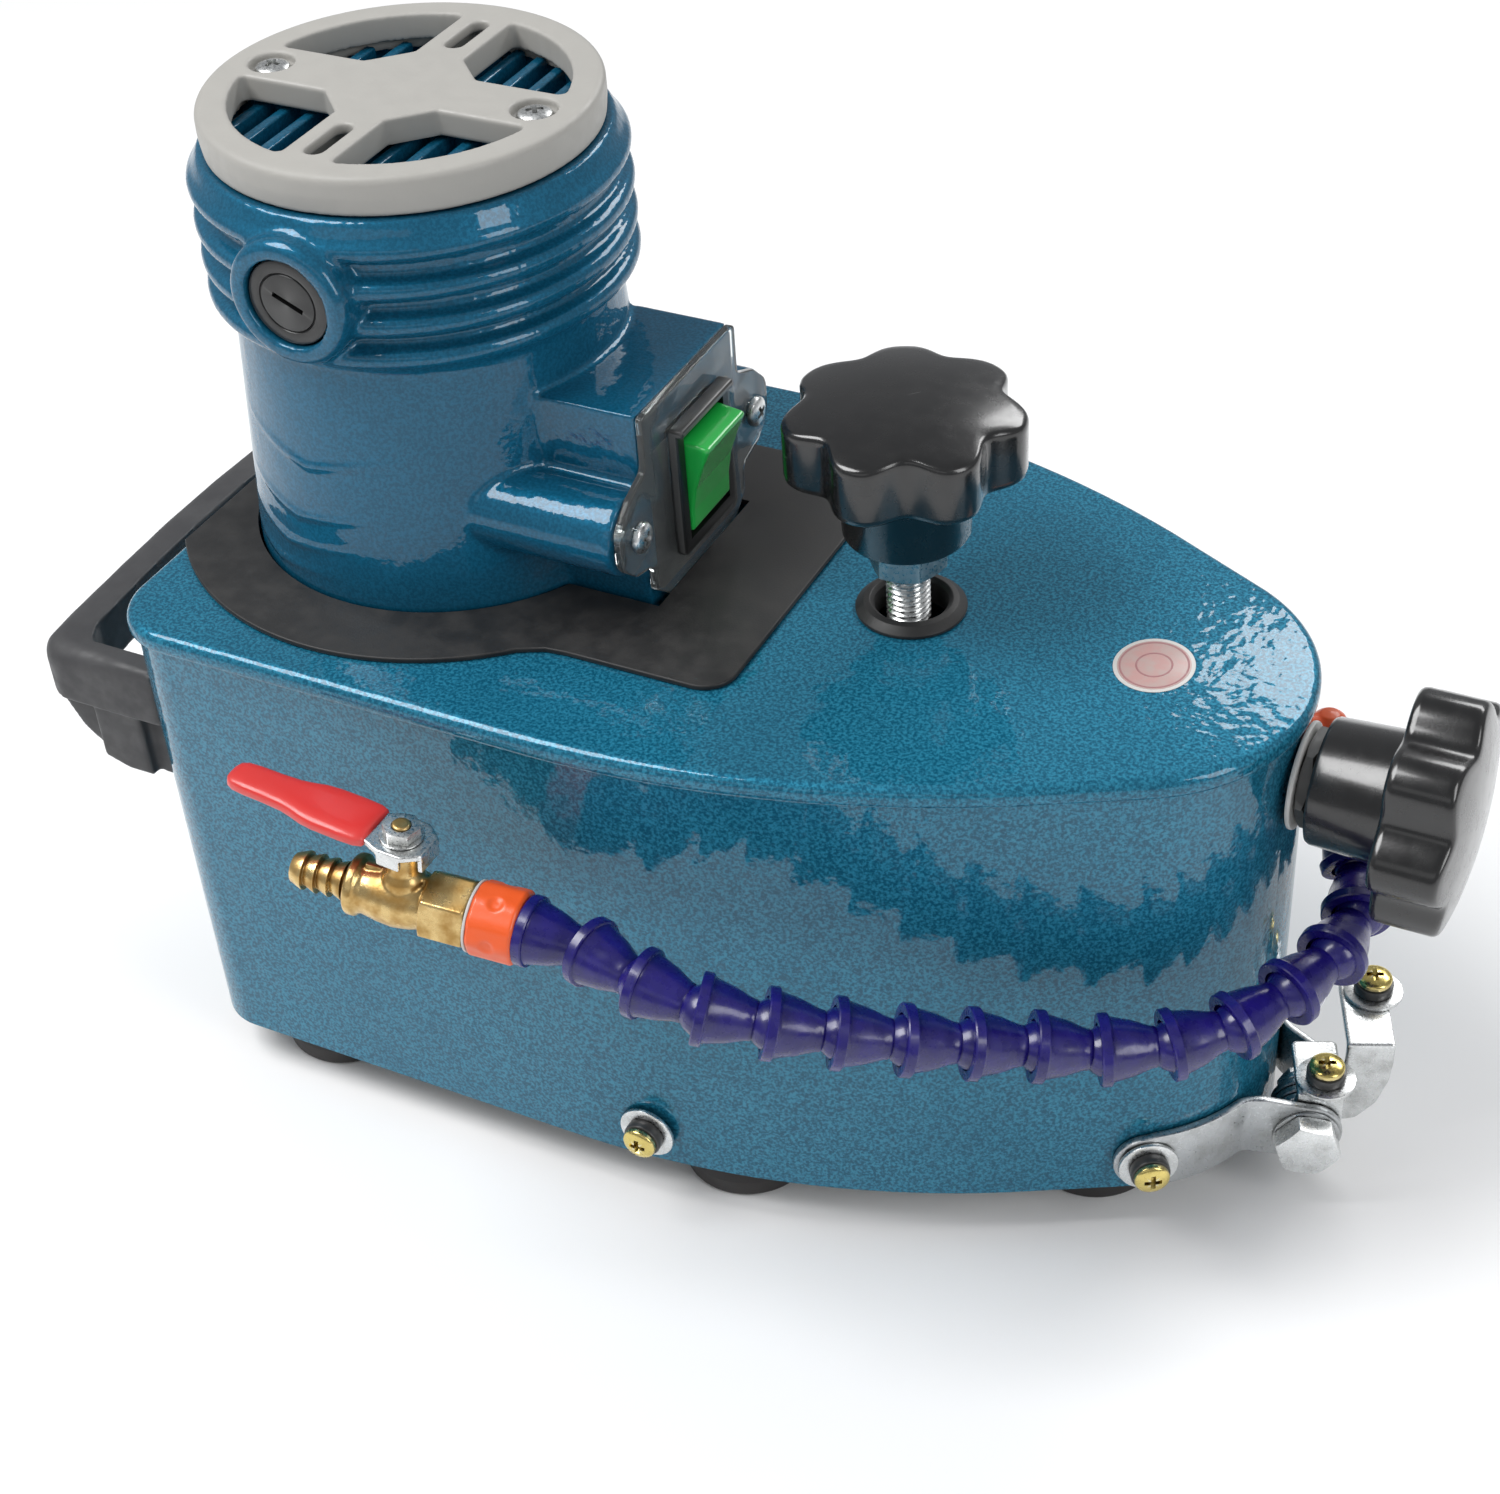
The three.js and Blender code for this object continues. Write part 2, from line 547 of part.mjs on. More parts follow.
function coolingFan() {
  const r0 = SPINDLE.r + GAP;
  const hub = turned([[r0, 84], [42, 84], [42, 86], [10, 87], [10, 98], [r0, 98]]);
  const blades = [];
  for (let i = 0; i < 7; i += 1) {
    blades.push(block(9, 41, -0.9, 0.9, 85, 96).rotateZ((i * 2 * Math.PI) / 7));
  }
  return join(hub, ...blades);
}

function grindingWheel() {
  const r0 = SPINDLE.r + GAP;
  return turned([[r0, -1], [28, -1], [30, WHEEL.bottom], [WHEEL.r, WHEEL.bottom], [WHEEL.r, WHEEL.top - 3],
    [36, WHEEL.top], [r0, WHEEL.top]]);
}

function wheelNut() {
  return cut(rod(9.8, -9, -1.3, 6), rod(SPINDLE.r + GAP, -20, 8));
}

function rocker() {
  const outline = polygon([[82.5, 166], [82.8, 180], [89, 193.2], [80.5, 194.5], [74, 188], [72, 180], [74, 171],
    [78, 165.6]]);
  return prism(outline, -ROCKER.half, ROCKER.half).rotateX(Math.PI / 2);
}

// ---- valve and hose ----
function valveBody() {
  const profile = [[2.8, -31.8], [4.1, -31.8]];
  for (let z = -28.6; z < -18; z += 3.4) {
    profile.push([5.4, z], [4.1, z + 0.3]);
  }
  profile.push([4.1, -16], [8.4, -14.8], [8.8, -9], [8.8, 4.5], [7.4, 6.5], [7.4, 8], [2.8, 8]);
  const hex = cut(rod(9.6, 7, 19.9, 6), rod(2.8, 0, 40));
  const pipe = alongX(join(turned(profile), hex));
  const boss = rod(6.2, 4, 13, 8);
  const stem = join(rod(4.2, 10, 19.7, 8), rod(2.6, 10, 26.5, 8));
  const gate = alongX(rod(4.4, -8, 7, 8));
  return join(pipe, boss, stem, gate);
}

// A hub plate with a stop bent down at its edge, a nut on top, and a flat sleeve that widens towards the hub.
function valveLever() {
  const plate = rod(8.5, 20, 21.8);
  const collar = rod(5.2, 21.5, 26, 6);
  const stop = block(7, 8.6, -4.5, 4.5, 15.5, 21.7);
  const half = [[-7.5, 6.4], [-12, 7.8], [-24, 7.4], [-33, 5.4], [-48, 5], [-51, 3.6], [-52.5, 0]];
  const arm = prism(polygon([...half, ...half.slice(0, -1).map(([x, y]) => [x, -y]).reverse()]), 18.8, 23);
  const tongue = block(-9, -5, -6, 6, 20, 21.8);
  const lever = cut(join(plate, collar, stop, arm, tongue), rod(2.6 + GAP, 10, 30, 8));
  return lever.rotateZ(THREE.MathUtils.degToRad(-8));
}

function hoseNut() {
  return alongX(turned([[3, 20.2], [9.4, 20.2], [10.4, 21.8], [10.4, 31.4], [9.2, 33.6], [3, 33.6]], 20));
}

const hosePath = new THREE.CatmullRomCurve3([
  [77.8, -107.3, 101], [92.5, -106, 99.6], [126, -111.5, 96.5], [168, -95.5, 86.5], [209, -70.5, 75.5],
  [222, -63.5, 73], [246, -49, 74], [263, -25.5, 79], [269.5, -4, 80.5], [267, 13, 82], [258.5, 27, 88],
  [251.5, 34.5, 97], [248.5, 36.6, 106.7],
].map(([x, y, z]) => new THREE.Vector3(x, y, z)), false, 'centripetal');
hosePath.arcLengthDivisions = 400;

// One hose element: a socket rim at its start, a cone and a ball at its far end.
function hoseElement(from, to, isLast) {
  const length = from.distanceTo(to);
  const { rim, neck, ball } = HOSE;
  const end = isLast ? length : length + 3;
  const profile = [[0, 0.4], [rim, 0.4], [rim, 2.8], [neck, length - 5], [ball, end - 1], [0, end]];
  const element = turned(profile, 9);
  const direction = to.clone().sub(from).normalize();
  const turn = new THREE.Quaternion().setFromUnitVectors(new THREE.Vector3(0, 0, 1), direction);
  return element.applyQuaternion(turn).translate(from.x, from.y, from.z);
}

function hoseRun(first, count) {
  const at = (i) => hosePath.getPointAt(i / HOSE.elements);
  const pieces = [];
  for (let i = first; i < first + count; i += 1) {
    const from = at(i);
    if (i === first && i > 0) from.lerp(at(i + 1), 0.31);
    pieces.push(hoseElement(from, at(i + 1), i === first + count - 1));
  }
  return join(...pieces);
}

// ---- materials ----
function paint(color, roughness, metalness) {
  return new THREE.MeshStandardMaterial({ color, roughness, metalness });
}

const LOOKS = {
  bluePaint: paint(0x2f6f94, 0.35, 0.2),
  greyPlastic: paint(0xa9a7a3, 0.55, 0),
  blackPlastic: paint(0x232325, 0.35, 0),
  blackRubber: paint(0x2c2c2e, 0.8, 0),
  zinc: paint(0xc9cccf, 0.3, 0.9),
  steel: paint(0x8f9396, 0.35, 0.9),
  goldZinc: paint(0xd8c26a, 0.3, 0.9),
  brass: paint(0xc59a4a, 0.3, 0.9),
  orange: paint(0xe8641f, 0.4, 0),
  violet: paint(0x2e1a8a, 0.35, 0),
  red: paint(0xd32f2f, 0.3, 0),
  green: paint(0x1fa64a, 0.25, 0),
  clear: paint(0xdfe8ea, 0.1, 0),
  aluminium: paint(0xb8babb, 0.5, 0.8),
  copper: paint(0xb06a3c, 0.4, 0.8),
  abrasive: paint(0x6d6a66, 0.9, 0.1),
  carbon: paint(0x303030, 0.7, 0.1),
};

// ---- assembly ----
const group = new THREE.Group();
const housing = new THREE.Group();
housing.position.z = -SPINDLE_END;
group.add(housing);

function add(name, geometry, look, parent = housing) {
  const mesh = new THREE.Mesh(geometry, look.clone());
  mesh.name = name;
  parent.add(mesh);
  return mesh;
}

function addPair(name, make, look, parent = housing) {
  add(`${name}_near`, make(-1), look, parent);
  add(`${name}_far`, make(1), look, parent);
}

add('cover_shell', coverShell(), LOOKS.bluePaint);
add('base_plate', floorPlate(), LOOKS.aluminium);
for (const [place, [x, y]] of Object.entries(FEET)) {
  addPair(`foot_${place}`, (side) => foot().translate(x, side * y, 0), LOOKS.blackRubber);
}
add('opening_gasket', gasket(), LOOKS.blackRubber);
add('screw_grommet', screwGrommet().translate(GROMMET.x, 0, 0), LOOKS.blackRubber);
add('grip_handle', gripHandle(), LOOKS.blackPlastic);
addPair('side_screw', sideScrew, LOOKS.goldZinc);
addPair('strap_screw', strapScrew, LOOKS.goldZinc);
addPair('nose_strap', strap, LOOKS.zinc);

const clamp = new THREE.Group();
clamp.position.set(CLAMP.x, CLAMP.y, CLAMP.z);
clamp.rotation.z = CLAMP.turn;
housing.add(clamp);
add('inner_bracket', innerBracket(), LOOKS.zinc, clamp);
add('outer_bracket', outerBracket(), LOOKS.zinc, clamp);
add('clamp_bolt', clampBolt(), LOOKS.zinc, clamp);
add('guide_roller', guideRoller(), LOOKS.steel, clamp);
const innerScrew = bracketScrew(5).translate(INNER.screwX, INNER.screwY, INNER.tab + SHEET);
add('inner_bracket_screw', innerScrew, LOOKS.goldZinc, clamp);
const outerScrew = bracketScrew(5).translate(OUTER.screwX, OUTER.screwY, OUTER.tab + SHEET);
add('outer_bracket_screw', outerScrew, LOOKS.goldZinc, clamp);

add('feed_bush', feedBush(), LOOKS.blackPlastic);
add('water_fitting', waterFitting(), LOOKS.orange);

add('cross_slide_plate', crossSlidePlate(), LOOKS.steel);
addPair('guide_column', guideColumn, LOOKS.steel);
const heightKnob = lobedKnob(HEIGHT_SCREW.r).translate(HEIGHT_SCREW.x, 0, HEIGHT_KNOB_Z);
add('height_knob', heightKnob, LOOKS.blackPlastic);
add('height_screw', heightScrew().translate(HEIGHT_SCREW.x, 0, 0), LOOKS.zinc);
const feedKnob = alongX(lobedKnob(FEED_AXIS.r)).translate(FEED_KNOB_X, 0, FEED_AXIS.z);
add('feed_knob', feedKnob, LOOKS.blackPlastic);
add('feed_screw', feedScrew(), LOOKS.zinc);

add('motor_housing', motorHousing(), LOOKS.bluePaint);
add('vent_cap', ventCap(), LOOKS.greyPlastic);
addPair('cap_screw', capScrew, LOOKS.zinc);
add('switch_plate', switchPlate(), LOOKS.clear);
add('switch_body', switchBody(), LOOKS.blackPlastic);
addPair('switch_screw', switchScrew, LOOKS.zinc);
addPair('brush_cap', brushCap, LOOKS.blackPlastic);
addPair('carbon_brush', carbonBrush, LOOKS.carbon);
add('stator', stator(), LOOKS.copper);
add('lift_bracket', liftBracket(), LOOKS.aluminium);
add('upper_bearing', upperBearing(), LOOKS.steel);
add('lower_bearing', lowerBearing(), LOOKS.steel);

add('spindle', spindle(), LOOKS.steel);
add('armature', armature(), LOOKS.copper);
add('cooling_fan', coolingFan(), LOOKS.blackPlastic);
add('grinding_wheel', grindingWheel(), LOOKS.abrasive);
add('wheel_nut', wheelNut(), LOOKS.zinc);
add('switch_rocker', rocker(), LOOKS.green);

const valve = new THREE.Group();
valve.position.set(VALVE.x, VALVE.y, VALVE.z);
valve.rotation.set(0, VALVE.tilt, VALVE.yaw, 'ZYX');
housing.add(valve);
add('valve_body', valveBody(), LOOKS.brass, valve);
add('valve_lever', valveLever(), LOOKS.red, valve);
add('hose_nut', hoseNut(), LOOKS.orange, valve);

add('hose_tail', hoseRun(0, HOSE.middleFrom), LOOKS.violet);
add('hose_middle', hoseRun(HOSE.middleFrom, HOSE.rootFrom - HOSE.middleFrom), LOOKS.violet);
add('hose_root', hoseRun(HOSE.rootFrom, HOSE.elements - HOSE.rootFrom), LOOKS.violet);

export default group;
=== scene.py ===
"""Portable wet grinding machine: the visible surfaces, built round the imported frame.

Lengths are in millimetres until a piece is made, and every place comes from the frame's boxes.
"""
import json
import math

import bmesh
import bpy
import numpy as np
from mathutils import Matrix, Vector


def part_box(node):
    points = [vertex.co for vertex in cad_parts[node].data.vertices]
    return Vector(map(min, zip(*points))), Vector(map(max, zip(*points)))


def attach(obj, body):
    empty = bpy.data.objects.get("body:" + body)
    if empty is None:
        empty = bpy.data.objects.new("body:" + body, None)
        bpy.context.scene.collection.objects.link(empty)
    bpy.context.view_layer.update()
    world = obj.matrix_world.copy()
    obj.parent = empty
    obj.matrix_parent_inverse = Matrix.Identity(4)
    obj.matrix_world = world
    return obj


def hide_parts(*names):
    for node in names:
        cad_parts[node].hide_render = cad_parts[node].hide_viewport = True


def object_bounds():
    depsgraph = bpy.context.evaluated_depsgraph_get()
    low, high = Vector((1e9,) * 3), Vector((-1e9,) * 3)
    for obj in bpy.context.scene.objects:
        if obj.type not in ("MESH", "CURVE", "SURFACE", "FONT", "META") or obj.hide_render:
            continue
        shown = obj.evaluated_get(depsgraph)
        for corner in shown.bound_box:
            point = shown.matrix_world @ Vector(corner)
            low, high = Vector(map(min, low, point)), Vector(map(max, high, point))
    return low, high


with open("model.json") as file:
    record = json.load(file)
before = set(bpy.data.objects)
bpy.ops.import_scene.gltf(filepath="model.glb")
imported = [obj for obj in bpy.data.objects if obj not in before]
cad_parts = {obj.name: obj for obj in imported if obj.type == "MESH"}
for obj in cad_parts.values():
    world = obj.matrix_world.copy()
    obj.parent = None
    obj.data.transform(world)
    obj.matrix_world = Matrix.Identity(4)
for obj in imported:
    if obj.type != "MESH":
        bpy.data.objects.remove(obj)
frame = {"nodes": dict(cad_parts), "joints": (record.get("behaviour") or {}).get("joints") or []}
cad_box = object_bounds()

MM = 0.001


class Span:
    """A CAD node's box in millimetres, with its middle."""

    def __init__(self, node):
        lo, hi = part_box(node)
        self.x0, self.y0, self.z0 = (v / MM for v in lo)
        self.x1, self.y1, self.z1 = (v / MM for v in hi)
        self.x = (self.x0 + self.x1) / 2
        self.y = (self.y0 + self.y1) / 2
        self.z = (self.z0 + self.z1) / 2


# ---- outlines and profiles ----
def arc(cx, cy, r, start, end, steps):
    """Points on an arc, with angles in degrees."""
    angles = [math.radians(start + (end - start) * i / steps) for i in range(steps + 1)]
    return [(cx + r * math.cos(a), cy + r * math.sin(a)) for a in angles]


def rounded(points, r, closed=True, steps=4):
    """The polyline with each corner replaced by an arc of radius r, or a smaller one where it has no room."""
    out = []
    count = len(points)
    for i, p in enumerate(points):
        radius = r[i] if isinstance(r, (list, tuple)) else r
        if radius <= 0 or (not closed and i in (0, count - 1)):
            out.append(tuple(p))
            continue
        a, b, c = Vector(points[i - 1]), Vector(p), Vector(points[(i + 1) % count])
        u, v = a - b, c - b
        angle = u.angle(v, math.pi)
        if angle > math.radians(176) or u.length < 1e-6 or v.length < 1e-6:
            out.append(tuple(p))
            continue
        reach = min(radius / math.tan(angle / 2), u.length * 0.45, v.length * 0.45)
        fillet = reach * math.tan(angle / 2)
        start, end = b + u.normalized() * reach, b + v.normalized() * reach
        centre = b + (u.normalized() + v.normalized()).normalized() * (fillet / math.sin(angle / 2))
        s, e = start - centre, end - centre
        for k in range(steps + 1):
            t = k / steps
            d = s * (1 - t) + e * t
            out.append(tuple(centre + d.normalized() * fillet))
    return out


def inset(outline, distance):
    """The closed outline moved inwards by distance; it runs anticlockwise."""
    moved = []
    count = len(outline)
    for i in range(count):
        p, n = Vector(outline[i - 1]), Vector(outline[(i + 1) % count])
        along = (n - p).normalized()
        moved.append((outline[i][0] - along.y * distance, outline[i][1] + along.x * distance))
    return moved


def anticlockwise(outline):
    area = sum(outline[i - 1][0] * outline[i][1] - outline[i][0] * outline[i - 1][1] for i in range(len(outline)))
    return outline if area > 0 else outline[::-1]


# ---- mesh building, in millimetres ----
def to_object(bm, name="part"):
    bmesh.ops.remove_doubles(bm, verts=bm.verts, dist=1e-4)
    bmesh.ops.recalc_face_normals(bm, faces=bm.faces)
    mesh = bpy.data.meshes.new(name)
    bm.to_mesh(mesh)
    bm.free()
    obj = bpy.data.objects.new(name, mesh)
    bpy.context.scene.collection.objects.link(obj)
    return obj


def loft(rings, cap=True, loop=False):
    """A skin over rings of equal length. With cap, each end is closed by one face; with loop, last meets first."""
    bm = bmesh.new()
    rows = [[bm.verts.new(p) for p in ring] for ring in rings]
    count = len(rows[0])
    pairs = list(zip(rows, rows[1:])) + ([(rows[-1], rows[0])] if loop else [])
    for low, high in pairs:
        for i in range(count):
            j = (i + 1) % count
            bm.faces.new((low[i], low[j], high[j], high[i]))
    if cap and not loop:
        bm.faces.new(rows[0][::-1])
        bm.faces.new(rows[-1])
    return to_object(bm)


def lathe(profile, sides=72, loop=False):
    """Turns (radius, height) pairs about Z. A radius of 0 closes the end to a point."""
    turn = [2 * math.pi * i / sides for i in range(sides)]
    rings = [[(r * math.cos(a), r * math.sin(a), z) for a in turn] for r, z in profile]
    return loft(rings, cap=False, loop=loop)


def extrude(outline, z0, z1, edge=0.0, steps=3):
    """A plate with the given outline and rounded rims."""
    outline = anticlockwise(outline)
    if edge <= 0:
        levels = [(0, z0), (0, z1)]
    else:
        turn = [math.pi / 2 * i / steps for i in range(steps + 1)]
        low = [(edge * (1 - math.sin(t)), z0 + edge * (1 - math.cos(t))) for t in turn]
        high = [(edge * (1 - math.cos(t)), z1 - edge * (1 - math.sin(t))) for t in turn]
        levels = low + high
    return loft([[(x, y, z) for x, y in inset(outline, d)] for d, z in levels])


def block(x0, x1, y0, y1, z0, z1, edge=0.0):
    return extrude([(x0, y0), (x1, y0), (x1, y1), (x0, y1)], z0, z1, edge)


def rod(r, z0, z1, sides=48, edge=0.0):
    edge = min(edge, r * 0.5, (z1 - z0) * 0.5)
    if edge <= 0:
        return lathe([(0, z0), (r, z0), (r, z1), (0, z1)], sides)
    return lathe([(0, z0), *rounded([(0, z0), (r, z0), (r, z1), (0, z1)], edge, closed=False)[1:-1], (0, z1)], sides)


def hexagon(across_corners, turn=0.0):
    return [(across_corners * math.cos(math.radians(turn + 60 * i)), across_corners * math.sin(math.radians(turn + 60 * i)))
            for i in range(6)]


def hex_nut(r, z0, z1, bore=0.0, turn=0.0):
    """A hexagon prism with its corners chamfered by a cone at both ends."""
    body = extrude(rounded(hexagon(r, turn), 0.25, steps=2), z0, z1)
    flat = r * math.cos(math.pi / 6)
    drop = (r - flat) * 0.55
    cone = lathe([(0, z0 - 0.01), (flat * 0.98, z0 - 0.01), (r + 0.3, z0 + drop), (r + 0.3, z1 - drop),
                  (flat * 0.98, z1 + 0.01), (0, z1 + 0.01)], 72)
    combine(body, cone, "INTERSECT")
    if bore:
        combine(body, rod(bore, z0 - 5, z1 + 5), "DIFFERENCE")
    return body


def apply_modifiers(obj):
    graph = bpy.context.evaluated_depsgraph_get()
    mesh = bpy.data.meshes.new_from_object(obj.evaluated_get(graph))
    old = obj.data
    obj.modifiers.clear()
    obj.data = mesh
    bpy.data.meshes.remove(old)
    return obj


def combine(target, tool, operation="UNION"):
    """Joins or cuts two solids, and removes the tool."""
    step = target.modifiers.new("combine", "BOOLEAN")
    step.operation = operation
    step.solver = "EXACT"
    step.object = tool
    apply_modifiers(target)
    bpy.data.objects.remove(tool)
    return target


def union(*objects):
    for other in objects[1:]:
        combine(objects[0], other)
    return objects[0]


def cut(target, *tools):
    for tool in tools:
        combine(target, tool, "DIFFERENCE")
    return target


def merge(*objects):
    """Puts separate solids into one mesh, without joining their surfaces."""
    bm = bmesh.new()
    for obj in objects:
        bm.from_mesh(obj.data)
        bpy.data.objects.remove(obj)
    mesh = bpy.data.meshes.new("merged")
    bm.to_mesh(mesh)
    bm.free()
    result = bpy.data.objects.new("merged", mesh)
    bpy.context.scene.collection.objects.link(result)
    return result


def cast(obj, voxel, rounds, keep=1.0):
    """Gives a solid the even, softly filleted skin of a casting or a moulding."""
    skin = obj.modifiers.new("skin", "REMESH")
    skin.mode = "VOXEL"
    skin.voxel_size = voxel
    soften = obj.modifiers.new("soften", "SMOOTH")
    soften.factor = 0.5
    soften.iterations = rounds
    if keep < 1:
        thin = obj.modifiers.new("thin", "DECIMATE")
        thin.ratio = keep
    return apply_modifiers(obj)


def moved(obj, x=0.0, y=0.0, z=0.0):
    obj.data.transform(Matrix.Translation((x, y, z)))
    return obj


def turned(obj, degrees, axis):
    obj.data.transform(Matrix.Rotation(math.radians(degrees), 4, axis))
    return obj


def to_x(obj):
    """Swings a piece built along +Z to run along +X."""
    return turned(obj, 90, "Y")


def to_y(obj):
    """Swings a piece built along +Z to run along +Y."""
    return turned(obj, -90, "X")


def displaced(obj, move):
    """Moves each vertex to move(x, y, z)."""
    for v in obj.data.vertices:
        v.co = move(*v.co)
    return obj


def copy_of(obj):
    twin = obj.copy()
    twin.data = obj.data.copy()
    bpy.context.scene.collection.objects.link(twin)
    return twin


def piece(obj, name, body, material, nodes=(), sharp=32):
    """Finishes one piece: metres, shading, material, the body it rides on and the CAD nodes it stands for."""
    obj.name = name
    obj.data.name = name
    obj.data.transform(Matrix.Scale(MM, 4))
    shade(obj, sharp)
    obj.data.materials.clear()
    obj.data.materials.append(material)
    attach(obj, body)
    if nodes:
        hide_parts(*nodes)
    return obj


def shade(obj, sharp):
    mesh = obj.data
    mesh.polygons.foreach_set("use_smooth", [True] * len(mesh.polygons))
    mesh.set_sharp_from_angle(angle=math.radians(sharp))
    mesh.update()


# ---- materials ----
class Graph:
    """A short way to write a material's nodes."""

    def __init__(self, name):
        self.material = bpy.data.materials.new(name)
        self.material.use_nodes = True
        self.nodes = self.material.node_tree.nodes
        self.links = self.material.node_tree.links
        self.surface = self.nodes["Principled BSDF"]
        self.place = self.nodes.new("ShaderNodeTexCoord").outputs["Object"]

    def node(self, kind, **inputs):
        made = self.nodes.new(kind)
        for key, value in inputs.items():
            self.put(made.inputs[key.replace("_", " ")], value)
        return made

    def put(self, socket, value):
        if isinstance(value, bpy.types.NodeSocket):
            self.links.new(value, socket)
        else:
            socket.default_value = value

    def noise(self, size, detail=3.0, rough=0.55, stretch=None):
        """Cloudy noise from 0 to 1, with its features about size millimetres across."""
        made = self.nodes.new("ShaderNodeTexNoise")
        made.inputs["Scale"].default_value = 1 / (size * MM)
        made.inputs["Detail"].default_value = detail
        made.inputs["Roughness"].default_value = rough
        place = self.place
        if stretch:
            place = self.stretched(stretch)
        self.links.new(place, made.inputs["Vector"])
        return made.outputs["Fac"]

    def stretched(self, stretch):
        mapping = self.nodes.new("ShaderNodeMapping")
        mapping.inputs["Scale"].default_value = stretch
        self.links.new(self.place, mapping.inputs["Vector"])
        return mapping.outputs["Vector"]

    def cells(self, size):
        """Distance to the nearest of scattered points, about size millimetres apart."""
        made = self.nodes.new("ShaderNodeTexVoronoi")
        made.inputs["Scale"].default_value = 1 / (size * MM)
        self.links.new(self.place, made.inputs["Vector"])
        return made.outputs["Distance"]

    def ramp(self, value, low, high, to_low=0.0, to_high=1.0):
        made = self.nodes.new("ShaderNodeMapRange")
        made.interpolation_type = "SMOOTHSTEP"
        for key, number in zip(("From Min", "From Max", "To Min", "To Max"), (low, high, to_low, to_high)):
            made.inputs[key].default_value = number
        self.links.new(value, made.inputs["Value"])
        return made.outputs["Result"]

    def math(self, operation, a, b=0.5):
        made = self.nodes.new("ShaderNodeMath")
        made.operation = operation
        self.put(made.inputs[0], a)
        self.put(made.inputs[1], b)
        return made.outputs[0]

    def mix(self, factor, a, b):
        made = self.nodes.new("ShaderNodeMix")
        made.data_type = "RGBA"
        self.put(made.inputs["Factor"], factor)
        self.put(made.inputs["A"], a)
        self.put(made.inputs["B"], b)
        return made.outputs["Result"]

    def bump(self, height, depth, after=None):
        """A bump of about depth millimetres."""
        made = self.nodes.new("ShaderNodeBump")
        made.inputs["Distance"].default_value = depth * MM
        self.links.new(height, made.inputs["Height"])
        if after:
            self.links.new(after, made.inputs["Normal"])
        return made.outputs["Normal"]

    def edges(self, low=0.52, high=0.6):
        """Near 1 on outer edges, where paint or plating wears."""
        geometry = self.nodes.new("ShaderNodeNewGeometry")
        return self.ramp(geometry.outputs["Pointiness"], low, high)

    def shadow(self, reach):
        """Near 1 in corners narrower than reach millimetres."""
        made = self.nodes.new("ShaderNodeAmbientOcclusion")
        made.inputs["Distance"].default_value = reach * MM
        made.samples = 4
        return self.ramp(made.outputs["AO"], 0.85, 0.3)

    def set(self, **inputs):
        for key, value in inputs.items():
            self.put(self.surface.inputs[key.replace("_", " ")], value)
        return self.material


def rgb(code, dim=1.0):
    """A screen colour such as 0x2f6f94 as a linear colour."""
    parts = [((code >> shift) & 255) / 255 for shift in (16, 8, 0)]
    linear = [p / 12.92 if p <= 0.04045 else ((p + 0.055) / 1.055) ** 2.4 for p in parts]
    return (*[p * dim for p in linear], 1.0)


def hammered_paint(name, light, dark, peel, mottle):
    """Blue hammered enamel: a fine light and dark mottle under a glossy coat with orange peel."""
    g = Graph(name)
    speck = g.noise(0.9, detail=2.0, rough=0.6)
    patch = g.noise(38.0, detail=2.0)
    tone = g.mix(g.ramp(speck, 0.36, 0.66, 0.5 - mottle / 2, 0.5 + mottle / 2), rgb(dark), rgb(light))
    tone = g.mix(g.ramp(patch, 0.35, 0.75, 0.0, 0.18), tone, rgb(dark))
    # Painted shade: the colour darkens towards a dim copy of the dark tone in corners narrower than 4 mm.
    tone = g.mix(g.math("MULTIPLY", g.shadow(4.0), 0.45), tone, rgb(dark, 0.35))
    grain = g.bump(speck, 0.09 * mottle)
    coarse = g.bump(g.noise(peel, detail=1.0), 0.16, after=grain)
    fine = g.bump(g.noise(2.2, detail=1.0), 0.045)
    coat = g.bump(g.noise(peel, detail=1.0, stretch=(1.0, 1.0, 0.6)), 0.2, after=fine)
    return g.set(Base_Color=tone, Metallic=0.3, Roughness=g.ramp(speck, 0.3, 0.7, 0.5, 0.36), Normal=coarse,
                 Specular_IOR_Level=0.0, Coat_Weight=0.8, Coat_Roughness=0.05, Coat_Normal=coat, Coat_IOR=1.5)


def moulded(name, code, rough=0.35, coat=0.0, grain=0.6, depth=0.02, dust=0.12, lighter=0.15):
    """Moulded plastic: faint cloudy colour, fine grain and slightly polished edges."""
    g = Graph(name)
    cloud = g.noise(14.0)
    tone = g.mix(g.ramp(cloud, 0.3, 0.75, 0.0, dust), rgb(code), rgb(0x8a8a88))
    tone = g.mix(g.math("MULTIPLY", g.edges(), lighter), tone, rgb(0xcfcfcd))
    spread = g.ramp(g.noise(5.0), 0.3, 0.7, rough * 0.85, min(1.0, rough * 1.2))
    return g.set(Base_Color=tone, Roughness=spread, Normal=g.bump(g.noise(grain), depth), Coat_Weight=coat,
                 Coat_Roughness=0.12)


def plated(name, code, rough=0.25, stain_and_shade=0x6b6a62, brushed=None, depth=0.012):
    """Plated or machined metal: streaky sheen, faint cloudy stains, painted shade in corners and bright edges."""
    g = Graph(name)
    cloud = g.noise(6.0)
    tone = g.mix(g.ramp(cloud, 0.4, 0.8, 0.0, 0.35), rgb(code), rgb(stain_and_shade))
    # Painted shade: corners narrower than 2.5 mm darken towards a dim copy of the stain colour.
    tone = g.mix(g.math("MULTIPLY", g.shadow(2.5), 0.6), tone, rgb(stain_and_shade, 0.4))
    tone = g.mix(g.math("MULTIPLY", g.edges(), 0.4), tone, rgb(0xf4f4f0))
    streak = g.noise(0.5, detail=4.0, stretch=brushed) if brushed else g.noise(0.8, detail=4.0)
    spread = g.ramp(streak, 0.3, 0.7, rough * 0.75, rough * 1.5)
    return g.set(Base_Color=tone, Metallic=1.0, Roughness=spread, Normal=g.bump(streak, depth))


